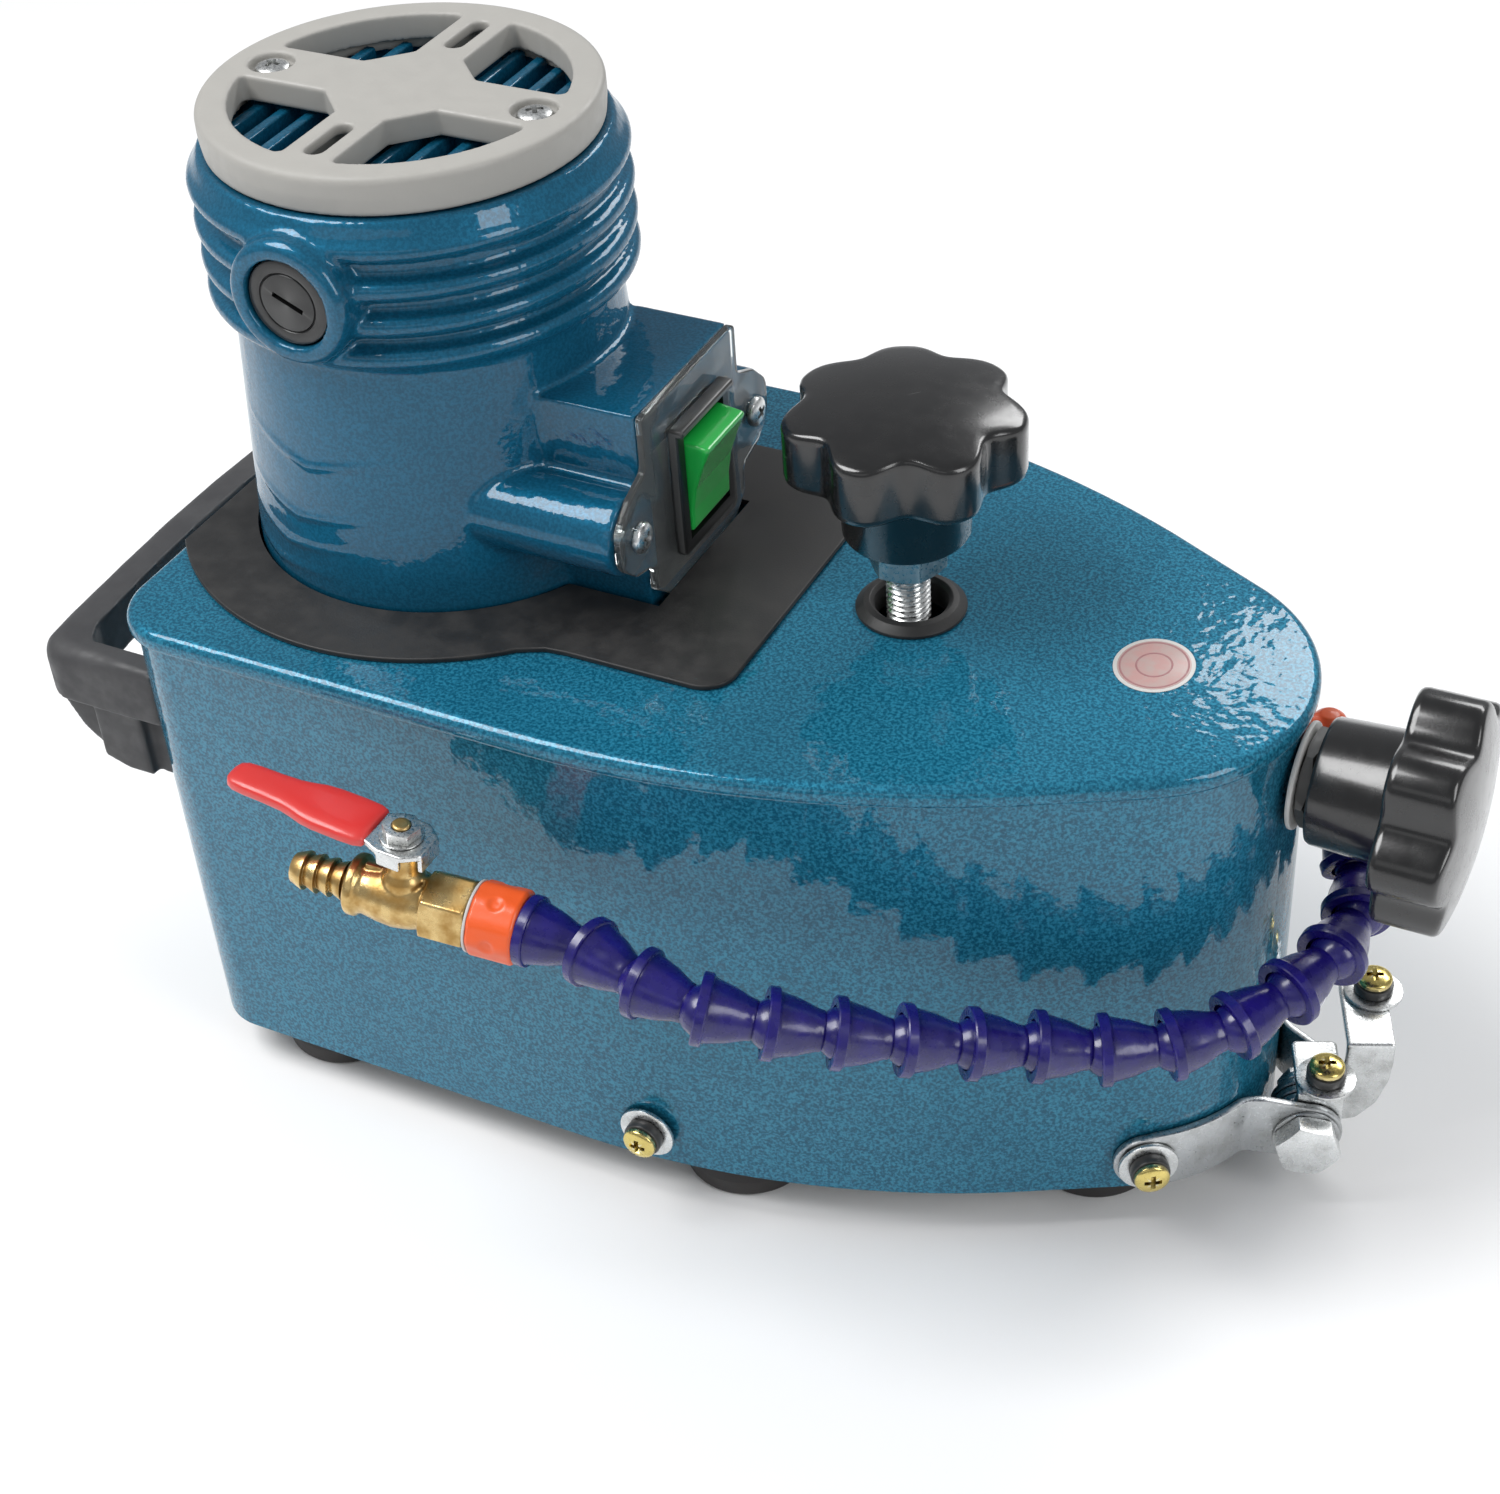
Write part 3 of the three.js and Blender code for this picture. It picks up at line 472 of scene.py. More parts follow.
def cast_brass():
    g = Graph("cast_brass")
    cloud = g.noise(5.0, detail=4.0)
    tone = g.mix(g.ramp(cloud, 0.3, 0.7), rgb(0xd9bd84), rgb(0xb08a4e))
    # Painted shade: corners narrower than 3 mm darken towards dark brown.
    tone = g.mix(g.math("MULTIPLY", g.shadow(3.0), 0.7), tone, rgb(0x4a3516))
    tone = g.mix(g.math("MULTIPLY", g.edges(), 0.45), tone, rgb(0xf0d79a))
    skin = g.noise(0.7, detail=4.0)
    return g.set(Base_Color=tone, Metallic=0.95, Roughness=g.ramp(cloud, 0.3, 0.7, 0.24, 0.42),
                 Normal=g.bump(skin, 0.05))


def rubber(name, code, rough=0.75):
    g = Graph(name)
    cloud = g.noise(9.0, detail=4.0)
    tone = g.mix(g.ramp(cloud, 0.35, 0.75, 0.0, 0.07), rgb(code), rgb(0x77736e))
    return g.set(Base_Color=tone, Roughness=g.ramp(cloud, 0.3, 0.7, rough * 0.8, rough), Normal=g.bump(g.noise(0.5), 0.03),
                 Sheen_Weight=0.08)


def hose_plastic():
    """Violet acetal: glossy, a little see-through, with fine turning marks."""
    g = Graph("hose_plastic")
    cloud = g.noise(7.0)
    tone = g.mix(g.ramp(cloud, 0.3, 0.7), rgb(0x130c5a), rgb(0x1b126c))
    return g.set(Base_Color=tone, Roughness=g.ramp(g.noise(3.0), 0.3, 0.7, 0.2, 0.36), Subsurface_Weight=0.08,
                 Subsurface_Radius=(0.002, 0.001, 0.004), Subsurface_Scale=1.0, Coat_Weight=0.25, Coat_Roughness=0.1,
                 Normal=g.bump(g.noise(1.2), 0.02))


def clear_sheet():
    g = Graph("clear_sheet")
    return g.set(Base_Color=(0.93, 0.97, 0.97, 1), Roughness=g.ramp(g.noise(6.0), 0.4, 0.8, 0.0, 0.03), IOR=1.25,
                 Transmission_Weight=0.96, Normal=g.bump(g.noise(12.0), 0.02))


def abrasive():
    g = Graph("abrasive")
    grit = g.cells(0.6)
    tone = g.mix(g.ramp(grit, 0.1, 0.6), rgb(0x8a867e), rgb(0x54514c))
    return g.set(Base_Color=tone, Roughness=0.9, Normal=g.bump(grit, 0.2))


def winding():
    g = Graph("winding")
    strands = g.noise(0.8, detail=2.0, stretch=(1.0, 1.0, 0.08))
    tone = g.mix(g.ramp(strands, 0.35, 0.65), rgb(0x7c3f1c), rgb(0xc07a44))
    return g.set(Base_Color=tone, Metallic=0.7, Roughness=0.35, Normal=g.bump(strands, 0.15))


def paper():
    """The plain round sticker: pale, with a printed ring and no lettering."""
    g = Graph("paper")
    cloud = g.noise(4.0)
    tone = g.mix(g.ramp(cloud, 0.3, 0.7), rgb(0xb88f8b), rgb(0xb09a95))
    return g.set(Base_Color=tone, Roughness=0.45, Coat_Weight=0.3, Coat_Roughness=0.2, Normal=g.bump(g.noise(1.0), 0.01))


def floor_paint():
    g = Graph("floor_paint")
    tone = g.mix(g.noise(300.0), (0.90, 0.90, 0.90, 1), (0.94, 0.94, 0.94, 1))
    return g.set(Base_Color=tone, Roughness=0.6, Normal=g.bump(g.noise(3.0), 0.02))


SHELL_PAINT = hammered_paint("shell_paint", 0x2f86a4, 0x074a64, peel=5.0, mottle=0.8)
MOTOR_PAINT = hammered_paint("motor_paint", 0x1b6a8c, 0x0a4862, peel=6.0, mottle=0.5)
GREY = moulded("grey_moulding", 0xa3a19c, rough=0.5, depth=0.015, dust=0.05, lighter=0.25)
BAKELITE = moulded("bakelite", 0x0d0d0e, rough=0.24, coat=0.6, dust=0.01, lighter=0.06)
HANDLE_BLACK = moulded("handle_black", 0x39393b, rough=0.55, dust=0.06, depth=0.03)
SWITCH_BLACK = moulded("switch_black", 0x0e0e0f, rough=0.35, coat=0.2, dust=0.03)
GREEN = moulded("rocker_green", 0x22c04e, rough=0.22, coat=0.6, dust=0.0, lighter=0.3)
ORANGE = moulded("orange_plastic", 0xe8591b, rough=0.4, coat=0.2, dust=0.02, depth=0.04, lighter=0.12)
RED = moulded("red_sleeve", 0xd3302c, rough=0.38, coat=0.3, dust=0.02, depth=0.03, lighter=0.1)
WHITE = moulded("white_ring", 0xc9c8c5, rough=0.4, dust=0.08)
GASKET = rubber("gasket_rubber", 0x101011, rough=0.6)
FOOT_RUBBER = rubber("foot_rubber", 0x232020)
ZINC = plated("zinc", 0xdee0e0, rough=0.28)
ZINC_DARK = plated("zinc_dark", 0xb9bcbe, rough=0.32)
STEEL = plated("steel", 0x9a9c9e, rough=0.3, brushed=(1.0, 1.0, 0.1))
GOLD_ZINC = plated("gold_zinc", 0xdcc87a, rough=0.2, stain_and_shade=0xa07f3a)
ALUMINIUM = plated("aluminium", 0xb3b5b6, rough=0.45, depth=0.05)
BRASS = cast_brass()
VIOLET = hose_plastic()
CLEAR = clear_sheet()
ABRASIVE = abrasive()
WINDING = winding()
CARBON = moulded("carbon", 0x303030, rough=0.6)
STICKER = paper()
PRINT = moulded("printed_ring", 0x9b6a6c, rough=0.5, dust=0.1)

# ---- the housing ----
shell = Span("cover_shell")
OVERHANG = 2.0
NOSE_R = 49.0
NOSE_X = shell.x1 - OVERHANG - NOSE_R
TAPER = 27.6
BEND_X, BEND_R = 138.9, 277.0
CORNER_R = 17.5
HALF = shell.y1 - OVERHANG
REAR_X = shell.x0 + OVERHANG
WALL = 2.0
PLATE_TOP = shell.z1
CREASE = PLATE_TOP - 6.0
SKIRT_LOW = shell.z0


def housing_outline(grow):
    """Half of the plan, mirrored: nose, long bend, straight side and rear corner."""
    end = 90 - TAPER
    bend_x = BEND_X - BEND_R * math.tan(math.radians(TAPER / 2))
    corner_x, corner_y = REAR_X + CORNER_R, HALF - CORNER_R
    half = [
        *arc(NOSE_X, 0, NOSE_R + grow, 0, end, 40),
        *arc(bend_x, HALF - BEND_R, BEND_R + grow, end, 90, 24)[1:],
        *[(bend_x + (corner_x - bend_x) * i / 6, HALF + grow) for i in range(1, 6)],
        *arc(corner_x, corner_y, CORNER_R + grow, 90, 180, 14),
    ]
    return half + [(x, -y) for x, y in reversed(half)][:-1]


def at(outline, z):
    return [(x, y, z) for x, y in outline]


def opening(grow, z0, z1):
    """The keyhole in the cover: a round for the motor and a bay for its switch box."""
    hole = lathe([(0, z0), (60 + grow, z0), (60 + grow, z1), (0, z1)], 96)
    moved(hole, x=2)
    bay = block(0, 86 + grow, -31.5 - grow, 31.5 + grow, z0 - 0.01, z1 + 0.01)
    return union(hole, bay)


def cover_shell():
    edge = 3.0
    turn = [math.pi / 2 * i / 6 for i in range(7)]
    rim = [(OVERHANG - edge * (1 - math.cos(t)), PLATE_TOP - edge * (1 - math.sin(t))) for t in turn]
    levels = [(-WALL, CREASE), (-WALL, SKIRT_LOW + 0.6), (-WALL + 0.5, SKIRT_LOW), (-0.5, SKIRT_LOW),
              (0, SKIRT_LOW + 0.6), (0, CREASE - 0.6), (0.15, CREASE - 0.1), (0.8, CREASE + 0.15),
              (1.6, CREASE + 0.5), (OVERHANG, CREASE + 1.4), *rim]
    body = loft([at(housing_outline(g), z) for g, z in levels])
    feed = Span("feed_screw")
    screw = Span("screw_grommet")
    tools = [
        opening(0, CREASE - 5, PLATE_TOP + 5),
        moved(rod(12.4, CREASE - 5, PLATE_TOP + 5), x=screw.x),
        moved(to_x(rod(9, NOSE_X + 30, NOSE_X + 60)), z=feed.z),
    ]
    return cut(body, *tools)


piece(cover_shell(), "cover_shell_skin", "housing", SHELL_PAINT, ["cover_shell"])


def gasket_outline():
    gasket = Span("opening_gasket")
    r, side = gasket.y1, 55.0
    join = math.degrees(math.asin(side / r))
    trim = math.degrees(math.acos(gasket.x0 / r))
    bay = [(gasket.x1, -side), (gasket.x1, side)]
    corner = rounded([(60.0, -side), bay[0], bay[1], (60.0, side)], 9.0, closed=False, steps=8)[1:-1]
    ring = arc(0, 0, r, join + 4, trim, 40) + arc(0, 0, r, 360 - trim, 360 - join - 4, 40)
    flare = [(math.cos(math.radians(join)) * r + 3.0, side + 0.6), (math.cos(math.radians(join)) * r + 9.0, side)]
    return [(flare[1][0], -side), *corner, (flare[1][0], side), flare[0], *ring, (flare[0][0], -flare[0][1])]


def opening_gasket():
    gasket = Span("opening_gasket")
    sheet = extrude(gasket_outline(), gasket.z0, gasket.z1, 0.5)
    hole = lathe([(0, 100), (58.2, 100), (58.2, 200), (0, 200)], 96)
    bay = block(0, Span("switch_plate").x1 + 0.4, -27.4, 27.4, 99, 201)
    return cut(sheet, union(hole, bay))


piece(opening_gasket(), "gasket_sheet", "cross_slide", GASKET, ["opening_gasket"])


def screw_grommet():
    ring = Span("screw_grommet")
    r = ring.x1 - ring.x
    bore = 10.0
    profile = rounded([(bore, ring.z0), (12.0, ring.z0), (12.0, PLATE_TOP + 0.1), (r, PLATE_TOP + 0.1),
                       (r, PLATE_TOP + 1.0), (r - 2.2, ring.z1 - 0.4), (bore + 1.2, ring.z1), (bore, ring.z1 - 1.2)], 0.5)
    return moved(lathe(profile, 72, loop=True), x=ring.x)


piece(screw_grommet(), "grommet_ring", "housing", GASKET, ["screw_grommet"])


# ---- the handle ----
def mirrored(points):
    return [(x, -y) for x, y in reversed(points)]


def handle_outer():
    box = Span("grip_handle")
    side, x = box.y1, box.x0
    half = [(-50, side), (x + 14, side), *arc(x + 14, side - 11, 11, 96, 158, 8), (x + 2.6, side - 18), (x + 1, 35), (x, 12)]
    return half + mirrored(half)


def handle_hollow():
    box = Span("grip_handle")
    inner, x = box.y1 - 8.5, box.x0
    half = [(-49, inner), (x + 20, inner), (x + 16.5, inner - 7), (x + 14, 35), (x + 13, 12)]
    return rounded(half + mirrored(half), [0, 2.5, 3, 0, 0, 0, 0, 3, 2.5, 0])


def handle_side():
    box = Span("grip_handle")
    x, low, top = box.x0, box.z0, box.z1
    belly = [(-50, low), (x + 28, low), (x + 19, low + 3), (x + 12, low + 9), (x + 7.5, low + 17), (x + 5.2, low + 26)]
    return [*belly, (x - 8, low + 26), (x - 8, top + 3), (-50, top + 3)]


def across(outline, y0, y1):
    """An outline drawn in X and Z, given thickness along Y."""
    return moved(turned(extrude(outline, 0, y1 - y0), 90, "X"), y=y1)


def grip_handle():
    """A bar between two arms; each arm has a lip, and a broad rib between two pockets beneath it."""
    box = Span("grip_handle")
    body = extrude(handle_outer(), box.z0 - 12, box.z1, 6.0, steps=6)
    combine(body, across(handle_side(), -120, 120), "INTERSECT")
    cut(body, extrude(handle_hollow(), box.z0 - 20, box.z1 + 5))
    inner = box.y1 - 9.3
    cut(body, block(box.x0 - 5.3, -48, -inner, inner, box.z0 - 10, box.z1 - 16))
    lip = box.z1 - 18
    front, rear = box.x0 + 20, box.x0 + 37
    for side in (-1, 1):
        for x0, x1, depth in ((box.x0 - 8, front, 4.6), (rear, -47, 4.8), (front - 1, rear + 1, 1.5)):
            y0, y1 = sorted((side * (box.y1 - depth), side * (box.y1 + 10 + depth)))
            cut(body, block(x0, x1, y0, y1, 60, lip - 0.05 * depth))
    cut(body, loft([at(housing_outline(0.3), z) for z in (60, 160)]))
    return cast(body, 0.85, 4)


piece(grip_handle(), "handle_moulding", "housing", HANDLE_BLACK, ["grip_handle"], sharp=60)


# ---- feet, base plate and the parts beneath ----
def rubber_foot(node):
    foot = Span(node)
    r = (foot.x1 - foot.x0) / 2
    low, high = foot.z0, foot.z1
    profile = [(0, low + 0.8), (5, low + 0.8), (6, low), *rounded([(6, low), (r - 0.4, low), (r, low + 6), (r - 1.6, high),
               (0, high)], 1.4, closed=False)[1:-1], (0, high)]
    return moved(lathe(profile, 64), foot.x, foot.y)


for place in ("rear", "mid", "front"):
    for side in ("near", "far"):
        node = f"foot_{place}_{side}"
        piece(rubber_foot(node), f"{node}_rubber", "housing", FOOT_RUBBER, [node])


def dress(node, material, width=0.4):
    """A CAD node that keeps its shape, with softened edges and its own finish."""
    obj = frame["nodes"][node]
    obj.data.materials.clear()
    obj.data.materials.append(material)
    shade(obj, 32)
    soften = obj.modifiers.new("soften", "BEVEL")
    soften.width = width * MM
    soften.segments = 2
    soften.limit_method = "ANGLE"
    soften.angle_limit = math.radians(50)
    return obj


for node in ("base_plate", "lift_bracket"):
    dress(node, ALUMINIUM)
dress("cross_slide_plate", STEEL)


def turned_node(node, profile, body, material, loop=False, edge=0.4):
    """A turned part about the spindle, drawn as a rounded profile."""
    closed = rounded(profile, edge, closed=loop, steps=3)
    return piece(lathe(closed, 96, loop=loop), f"{node}_part", body, material, [node])


def grinding_parts():
    wheel = Span("grinding_wheel")
    r, bore = wheel.x1, 5.3
    turned_node("grinding_wheel", [(bore, wheel.z0 + 7), (28, wheel.z0 + 7), (30, wheel.z0), (r, wheel.z0),
                                   (r, wheel.z1 - 3), (36, wheel.z1), (bore, wheel.z1)], "rotor", ABRASIVE, loop=True)
    shaft = Span("spindle")
    turned_node("spindle", [(0, shaft.z0), (4.2, shaft.z0), (5, shaft.z0 + 0.8), (5, wheel.z1 + 0.3), (7, wheel.z1 + 0.3),
                            (7, wheel.z1 + 24), (5, wheel.z1 + 24), (5, shaft.z1), (0, shaft.z1)], "rotor", STEEL)
    nut = Span("wheel_nut")
    piece(hex_nut(nut.x1, nut.z0, nut.z1, bore=5.3), "wheel_nut_part", "rotor", ZINC, ["wheel_nut"])
    for node, material, slot in (("armature", WINDING, "copper_winding"), ("stator", WINDING, "copper_winding"),
                                 ("upper_bearing", STEEL, "steel"), ("lower_bearing", STEEL, "steel")):
        dress(node, material)
    dress("cooling_fan", SWITCH_BLACK)
    for side in ("near", "far"):
        dress(f"carbon_brush_{side}", CARBON, 0.2)
        column = Span(f"guide_column_{side}")
        bar = moved(rod(column.x1 - column.x, column.z0, column.z1, 64, 0.8), column.x, column.y)
        piece(bar, f"guide_column_{side}_bar", "cross_slide", STEEL, [f"guide_column_{side}"])


grinding_parts()


# ---- screws ----
def thread(r, pitch, z0, z1, depth=None, sides=48):
    """A rod with a real helical thread."""
    depth = depth or pitch * 0.5
    rows = int((z1 - z0) / (pitch / 10)) + 1
    rings = []
    for i in range(rows + 1):
        z = z0 + (z1 - z0) * i / rows
        ring = []
        for k in range(sides):
            a = 2 * math.pi * k / sides
            phase = (z / pitch - k / sides) % 1.0
            wave = abs(2 * phase - 1)
            radius = r - depth * min(1.0, max(0.0, wave * 1.3 - 0.15))
            ring.append((radius * math.cos(a), radius * math.sin(a), z))
        rings.append(ring)
    return loft(rings)


def cross_recess(width, depth, top):
    """The cutter for a crosshead: two tapered blades."""
    blades = []
    for turn in (0, 90):
        half, thick = width / 2, width * 0.12
        low = [(-half * 0.45, -thick * 0.7, top - depth), (half * 0.45, -thick * 0.7, top - depth),
               (half * 0.45, thick * 0.7, top - depth), (-half * 0.45, thick * 0.7, top - depth)]
        high = [(-half, -thick, top + 1), (half, -thick, top + 1), (half, thick, top + 1), (-half, thick, top + 1)]
        blades.append(turned(loft([low, high]), turn, "Z"))
    return union(*blades)


def pan_head(r, height):
    """A domed crosshead with its underside at z = 0."""
    dome = [(r * math.cos(t), height * 0.45 + height * 0.55 * math.sin(t)) for t in [math.pi / 2 * i / 8 for i in range(8)]]
    head = lathe([(0, 0), (r * 0.94, 0), (r, height * 0.12), *dome, (0, height)], 48)
    return cut(head, cross_recess(r * 1.3, height * 0.66, height))


def washer(inner, outer, thick, edge=0.2):
    return lathe(rounded([(inner, 0), (outer, 0), (outer, thick), (inner, thick)], edge, steps=2), 56, loop=True)


def captive_screw(name, body, node, put):
    """Pan head, black spacer and washer on one axis, each its own piece; put places them."""
    rest = put(washer(2.6, 8.4, 1.2))
    piece(rest, f"{name}_washer", body, ZINC)
    spacer = put(moved(washer(2.4, 5.6, 3.2, 0.5), z=1.2))
    piece(spacer, f"{name}_spacer", body, SWITCH_BLACK)
    shank = rod(2.1, -8, 4.4, 24)
    head = put(union(moved(pan_head(5.0, 2.8), z=4.4), shank))
    piece(head, f"{name}_head", body, GOLD_ZINC, [node])


def side_screws():
    for side, sign in (("near", -1), ("far", 1)):
        box = Span(f"side_screw_{side}")
        y = sign * (HALF + 0.1)
        captive_screw(f"side_screw_{side}", "housing", f"side_screw_{side}",
                      lambda part: moved(turned(part, -sign * 90, "X"), box.x, y, box.z))


side_screws()


# ---- the bracket on the nose ----
CLAMP_TURN = 22.5
SHEET = 2.4
bolt_box = Span("clamp_bolt")
joint_of = {j["name"]: j for j in frame["joints"]}
clamp_at = [v / MM for v in joint_of["roller_spin"]["pos_m"]]


def clamp_frame(obj):
    """From the clamp's own frame (+X along the strap's end, +Y away from the bolt head) to its place."""
    turned(obj, CLAMP_TURN, "Z")
    return moved(obj, *clamp_at)


def upright(outline, y, thick=SHEET, edge=0.5):
    """A sheet drawn in X and Z that stands at y in the clamp's frame."""
    return moved(turned(extrude(outline, 0, thick, edge), 90, "X"), y=y + thick)


def flat_sheet(outline, z, thick=SHEET, edge=0.5):
    return moved(extrude(outline, 0, thick, edge), z=z)


def bent_strap(sign):
    """A flat bar with rounded ends, bent round the nose and out to the bolt."""
    strap = Span("nose_strap_near" if sign < 0 else "nose_strap_far")
    z_mid = strap.z1 - 10.0
    r = NOSE_R + 0.35 + SHEET / 2
    screw_at, leave_at = 57.5, 21.5
    lead = 9.4
    ahead = Vector((math.cos(math.radians(CLAMP_TURN)), math.sin(math.radians(CLAMP_TURN))))
    side = Vector((ahead.y, -ahead.x))
    tip = Vector(clamp_at[:2]) - side * SHEET / 2
    leave = Vector((NOSE_X + r * math.cos(math.radians(-leave_at)), r * math.sin(math.radians(-leave_at))))
    sweep = r * math.radians(screw_at - leave_at)
    run = (tip - leave).length
    length = sweep + run
    drop = z_mid - clamp_at[2] if sign < 0 else 0.0
    half = 10.0
    end_r = 10.2 if sign < 0 else 9.0
    outline = [*arc(0, 0, lead, 90, 270, 16), (lead * 0.3, -half), *[(length * t, -half) for t in (0.3, 0.6)],
               *arc(length, -drop, end_r, -80, 88, 18), (length - 12, half - 0.5), (length * 0.5, half), (lead * 0.3, half)]
    plate = extrude(outline, -SHEET / 2, SHEET / 2, 0.5, steps=2)
    cut(plate, rod(2.6, -9, 9))
    if sign < 0:
        cut(plate, moved(rod(4.4, -9, 9), length, -drop))
    bm = bmesh.new()
    bm.from_mesh(plate.data)
    steps = 44
    for i in range(1, steps):
        x = -lead + (length + lead + end_r) * i / steps
        bmesh.ops.bisect_plane(bm, geom=bm.verts[:] + bm.edges[:] + bm.faces[:], plane_co=(x, 0, 0), plane_no=(1, 0, 0))
    bm.to_mesh(plate.data)
    bm.free()
    start = math.radians(-screw_at)
    straight = (tip - leave).normalized()
    out = Vector((straight.y, -straight.x))

    def bend(s, z, n):
        if s <= sweep:
            a = start + s / r
            return Vector((NOSE_X + (r + n) * math.cos(a), sign * -(r + n) * math.sin(a), z_mid + z))
        p = leave + straight * (s - sweep) + out * n
        return Vector((p.x, sign * -p.y, z_mid + z))

    blend = 3.0

    def smooth_bend(s, z, n):
        if abs(s - sweep) < blend:
            t = (s - sweep + blend) / (2 * blend)
            low, high = bend(sweep - blend, z, n), bend(sweep + blend, z, n)
            mid = bend(sweep, z, n)
            return low * (1 - t) ** 2 + mid * 2 * t * (1 - t) + high * t ** 2
        return bend(s, z, n)

    displaced(plate, smooth_bend)
    if sign > 0:
        plate.data.flip_normals()
    return plate


def nose_bracket():
    piece(bent_strap(-1), "nose_strap_near_bar", "housing", ZINC_DARK, ["nose_strap_near"])
    piece(bent_strap(1), "nose_strap_far_bar", "housing", ZINC_DARK, ["nose_strap_far"])
    for side, sign in (("near", -1), ("far", 1)):
        box = Span(f"nose_strap_{side}")
        angle = sign * 57.5
        reach = NOSE_R + SHEET + 0.6

        def put(part):
            turned(to_x(part), angle, "Z")
            a = math.radians(angle)
            return moved(part, NOSE_X + reach * math.cos(a), reach * math.sin(a), box.z1 - 10.0)

        captive_screw(f"strap_screw_{side}", "housing", f"strap_screw_{side}", put)


nose_bracket()


def clamp_stack():
    inner, outer = Span("inner_bracket"), Span("outer_bracket")
    tab_top = inner.z1 - clamp_at[2]
    low = SHEET + 0.3
    disc = arc(0, 0, 10.0, 150, 360, 22)
    flange = upright([*disc, (10, tab_top - 1), (-3, tab_top - 1), (-3.5, 9.2)], low)
    top = flat_sheet(rounded([(-3, low), (10, low), (10, 24), (-3, 24)], [0.4, 0.4, 1.5, 1.5]), tab_top - SHEET)
    cut(flange, to_y(rod(4.4, -20, 20)))
    bracket = cast(union(flange, top), 0.35, 2)
    piece(clamp_frame(bracket), "inner_bracket_sheet", "housing", ZINC, ["inner_bracket"], sharp=50)

    tab_top = outer.z1 - clamp_at[2]
    left, right, back = 11.5, 25.0, 45.0
    plate = rounded([(-6, -6), (-1, -9.4), (9, -10.4), (16, -9.5), (21.5, -3), (24.4, 6), (right, 13), (right, tab_top - 1),
                     (left, tab_top - 1), (left, 11), (8, 8), (-3, 8), (-6.5, 4)], [5, 5, 4, 4, 5, 5, 5, 0.4, 0.4, 2, 3, 4, 4])
    web = upright(plate, 15.0)
    ledge = flat_sheet(rounded([(left, 15), (right, 15), (right, back), (left, back)], [0.4, 0.4, 6, 6]), tab_top - SHEET)
    cut(web, to_y(rod(4.4, -30, 30)))
    bracket = cast(union(web, ledge), 0.4, 3)
    piece(clamp_frame(bracket), "outer_bracket_sheet", "housing", ZINC, ["outer_bracket"], sharp=50)

    for name, x, y, z in (("inner_bracket_screw", 5.3, 8.5, inner.z1), ("outer_bracket_screw", 21.0, 36.5, outer.z1)):
        height = z - clamp_at[2]
        captive_screw(name, "housing", name, lambda part: clamp_frame(moved(part, x, y, height)))


clamp_stack()


def clamp_fasteners():
    head = hex_nut(9.5, -7.2, -1.2, turn=12)
    face = washer(4.3, 9.4, 0.9)
    moved(face, z=-1.1)
    shank = thread(3.9, 1.25, -1.5, 20.5)
    bolt = to_y(union(head, shank))
    piece(clamp_frame(bolt), "clamp_bolt_hexagon", "housing", ZINC, ["clamp_bolt"])
    piece(clamp_frame(to_y(face)), "clamp_bolt_washer", "housing", ZINC_DARK)
    nut = hex_nut(6.4, 0, 3.0, bore=3.6)
    piece(clamp_frame(to_y(moved(nut, z=17.8))), "clamp_bolt_nut", "housing", ZINC_DARK)
    start, end, count = 5.5, 14.6, 3
    third = (end - start) / count
    profile = [(4.4, start)]
    for i in range(count):
        z = start + i * third
        profile += [(7.6, z), (8.5, z + 0.25), (8.8, z + 0.7), (8.8, z + third - 0.7), (8.5, z + third - 0.25), (7.6, z + third)]
    profile.append((4.4, end))
    rings = lathe(profile, 64, loop=True)
    piece(clamp_frame(to_y(rings)), "washer_stack", "roller", STEEL, ["guide_roller"])


clamp_fasteners()


# ---- star knobs ----
LOBES = 7


def star_radius(r, angle):
    """The knob's plan: wide round lobes with narrower hollows between them."""
    wave = ((1 - math.cos(LOBES * angle)) / 2) ** 1.35
    return r - r * 0.17 * wave


def star_knob(r, length, neck, neck_length, sides=196):
    """From the neck upwards: neck, shoulder, lobes with a crisp rounded rim, and one smooth shallow dome."""
    angles = [2 * math.pi * i / sides for i in range(sides)]
    rise = 3.8

    def plain(radius, z):
        return [(radius * math.cos(a), radius * math.sin(a), z) for a in angles]

    def star(drop, z):
        return [((star_radius(r, a) - drop) * math.cos(a), (star_radius(r, a) - drop) * math.sin(a), z) for a in angles]

    def dome(reach, below=0.0):
        out = []
        for a in angles:
            radius = reach(a)
            out.append((radius * math.cos(a), radius * math.sin(a), length - rise * (radius / r) ** 2.2 - below))
        return out

    low = neck_length
    rings = [plain(neck - 1.4, 0.0), plain(neck - 0.5, 0.3), plain(neck, 1.2), plain(neck + 0.9, low - 1.2),
             plain(neck + 1.3, low - 0.4), plain(neck + 2.6, low), star(3.0, low + 0.1), star(1.0, low + 0.5),
             star(0.25, low + 1.3), star(0, low + 2.6)]
    for drop, below in ((0, 2.6), (0, 1.5), (0.25, 0.7), (0.75, 0.2), (1.5, 0.0)):
        rings.append(dome(lambda a: star_radius(r, a) - drop, below))
    steps = 14
    for i in range(1, steps):
        s = 1 - i / steps
        share = s ** 1.6
        rings.append(dome(lambda a: ((r - 7) * (1 - share) + (star_radius(r, a) - 1.5) * share) * s))
    rings.append([(0, 0, length)] * sides)
    knob = loft(rings, cap=False)
    bm = bmesh.new()
    bm.from_mesh(knob.data)
    bmesh.ops.holes_fill(bm, edges=[e for e in bm.edges if e.is_boundary], sides=0)
    bmesh.ops.recalc_face_normals(bm, faces=bm.faces)
    bm.to_mesh(knob.data)
    bm.free()
    return knob


KNOB = {"neck": 17.1, "neck_length": 20.2}
HEIGHT_SCREW_X = 140.5


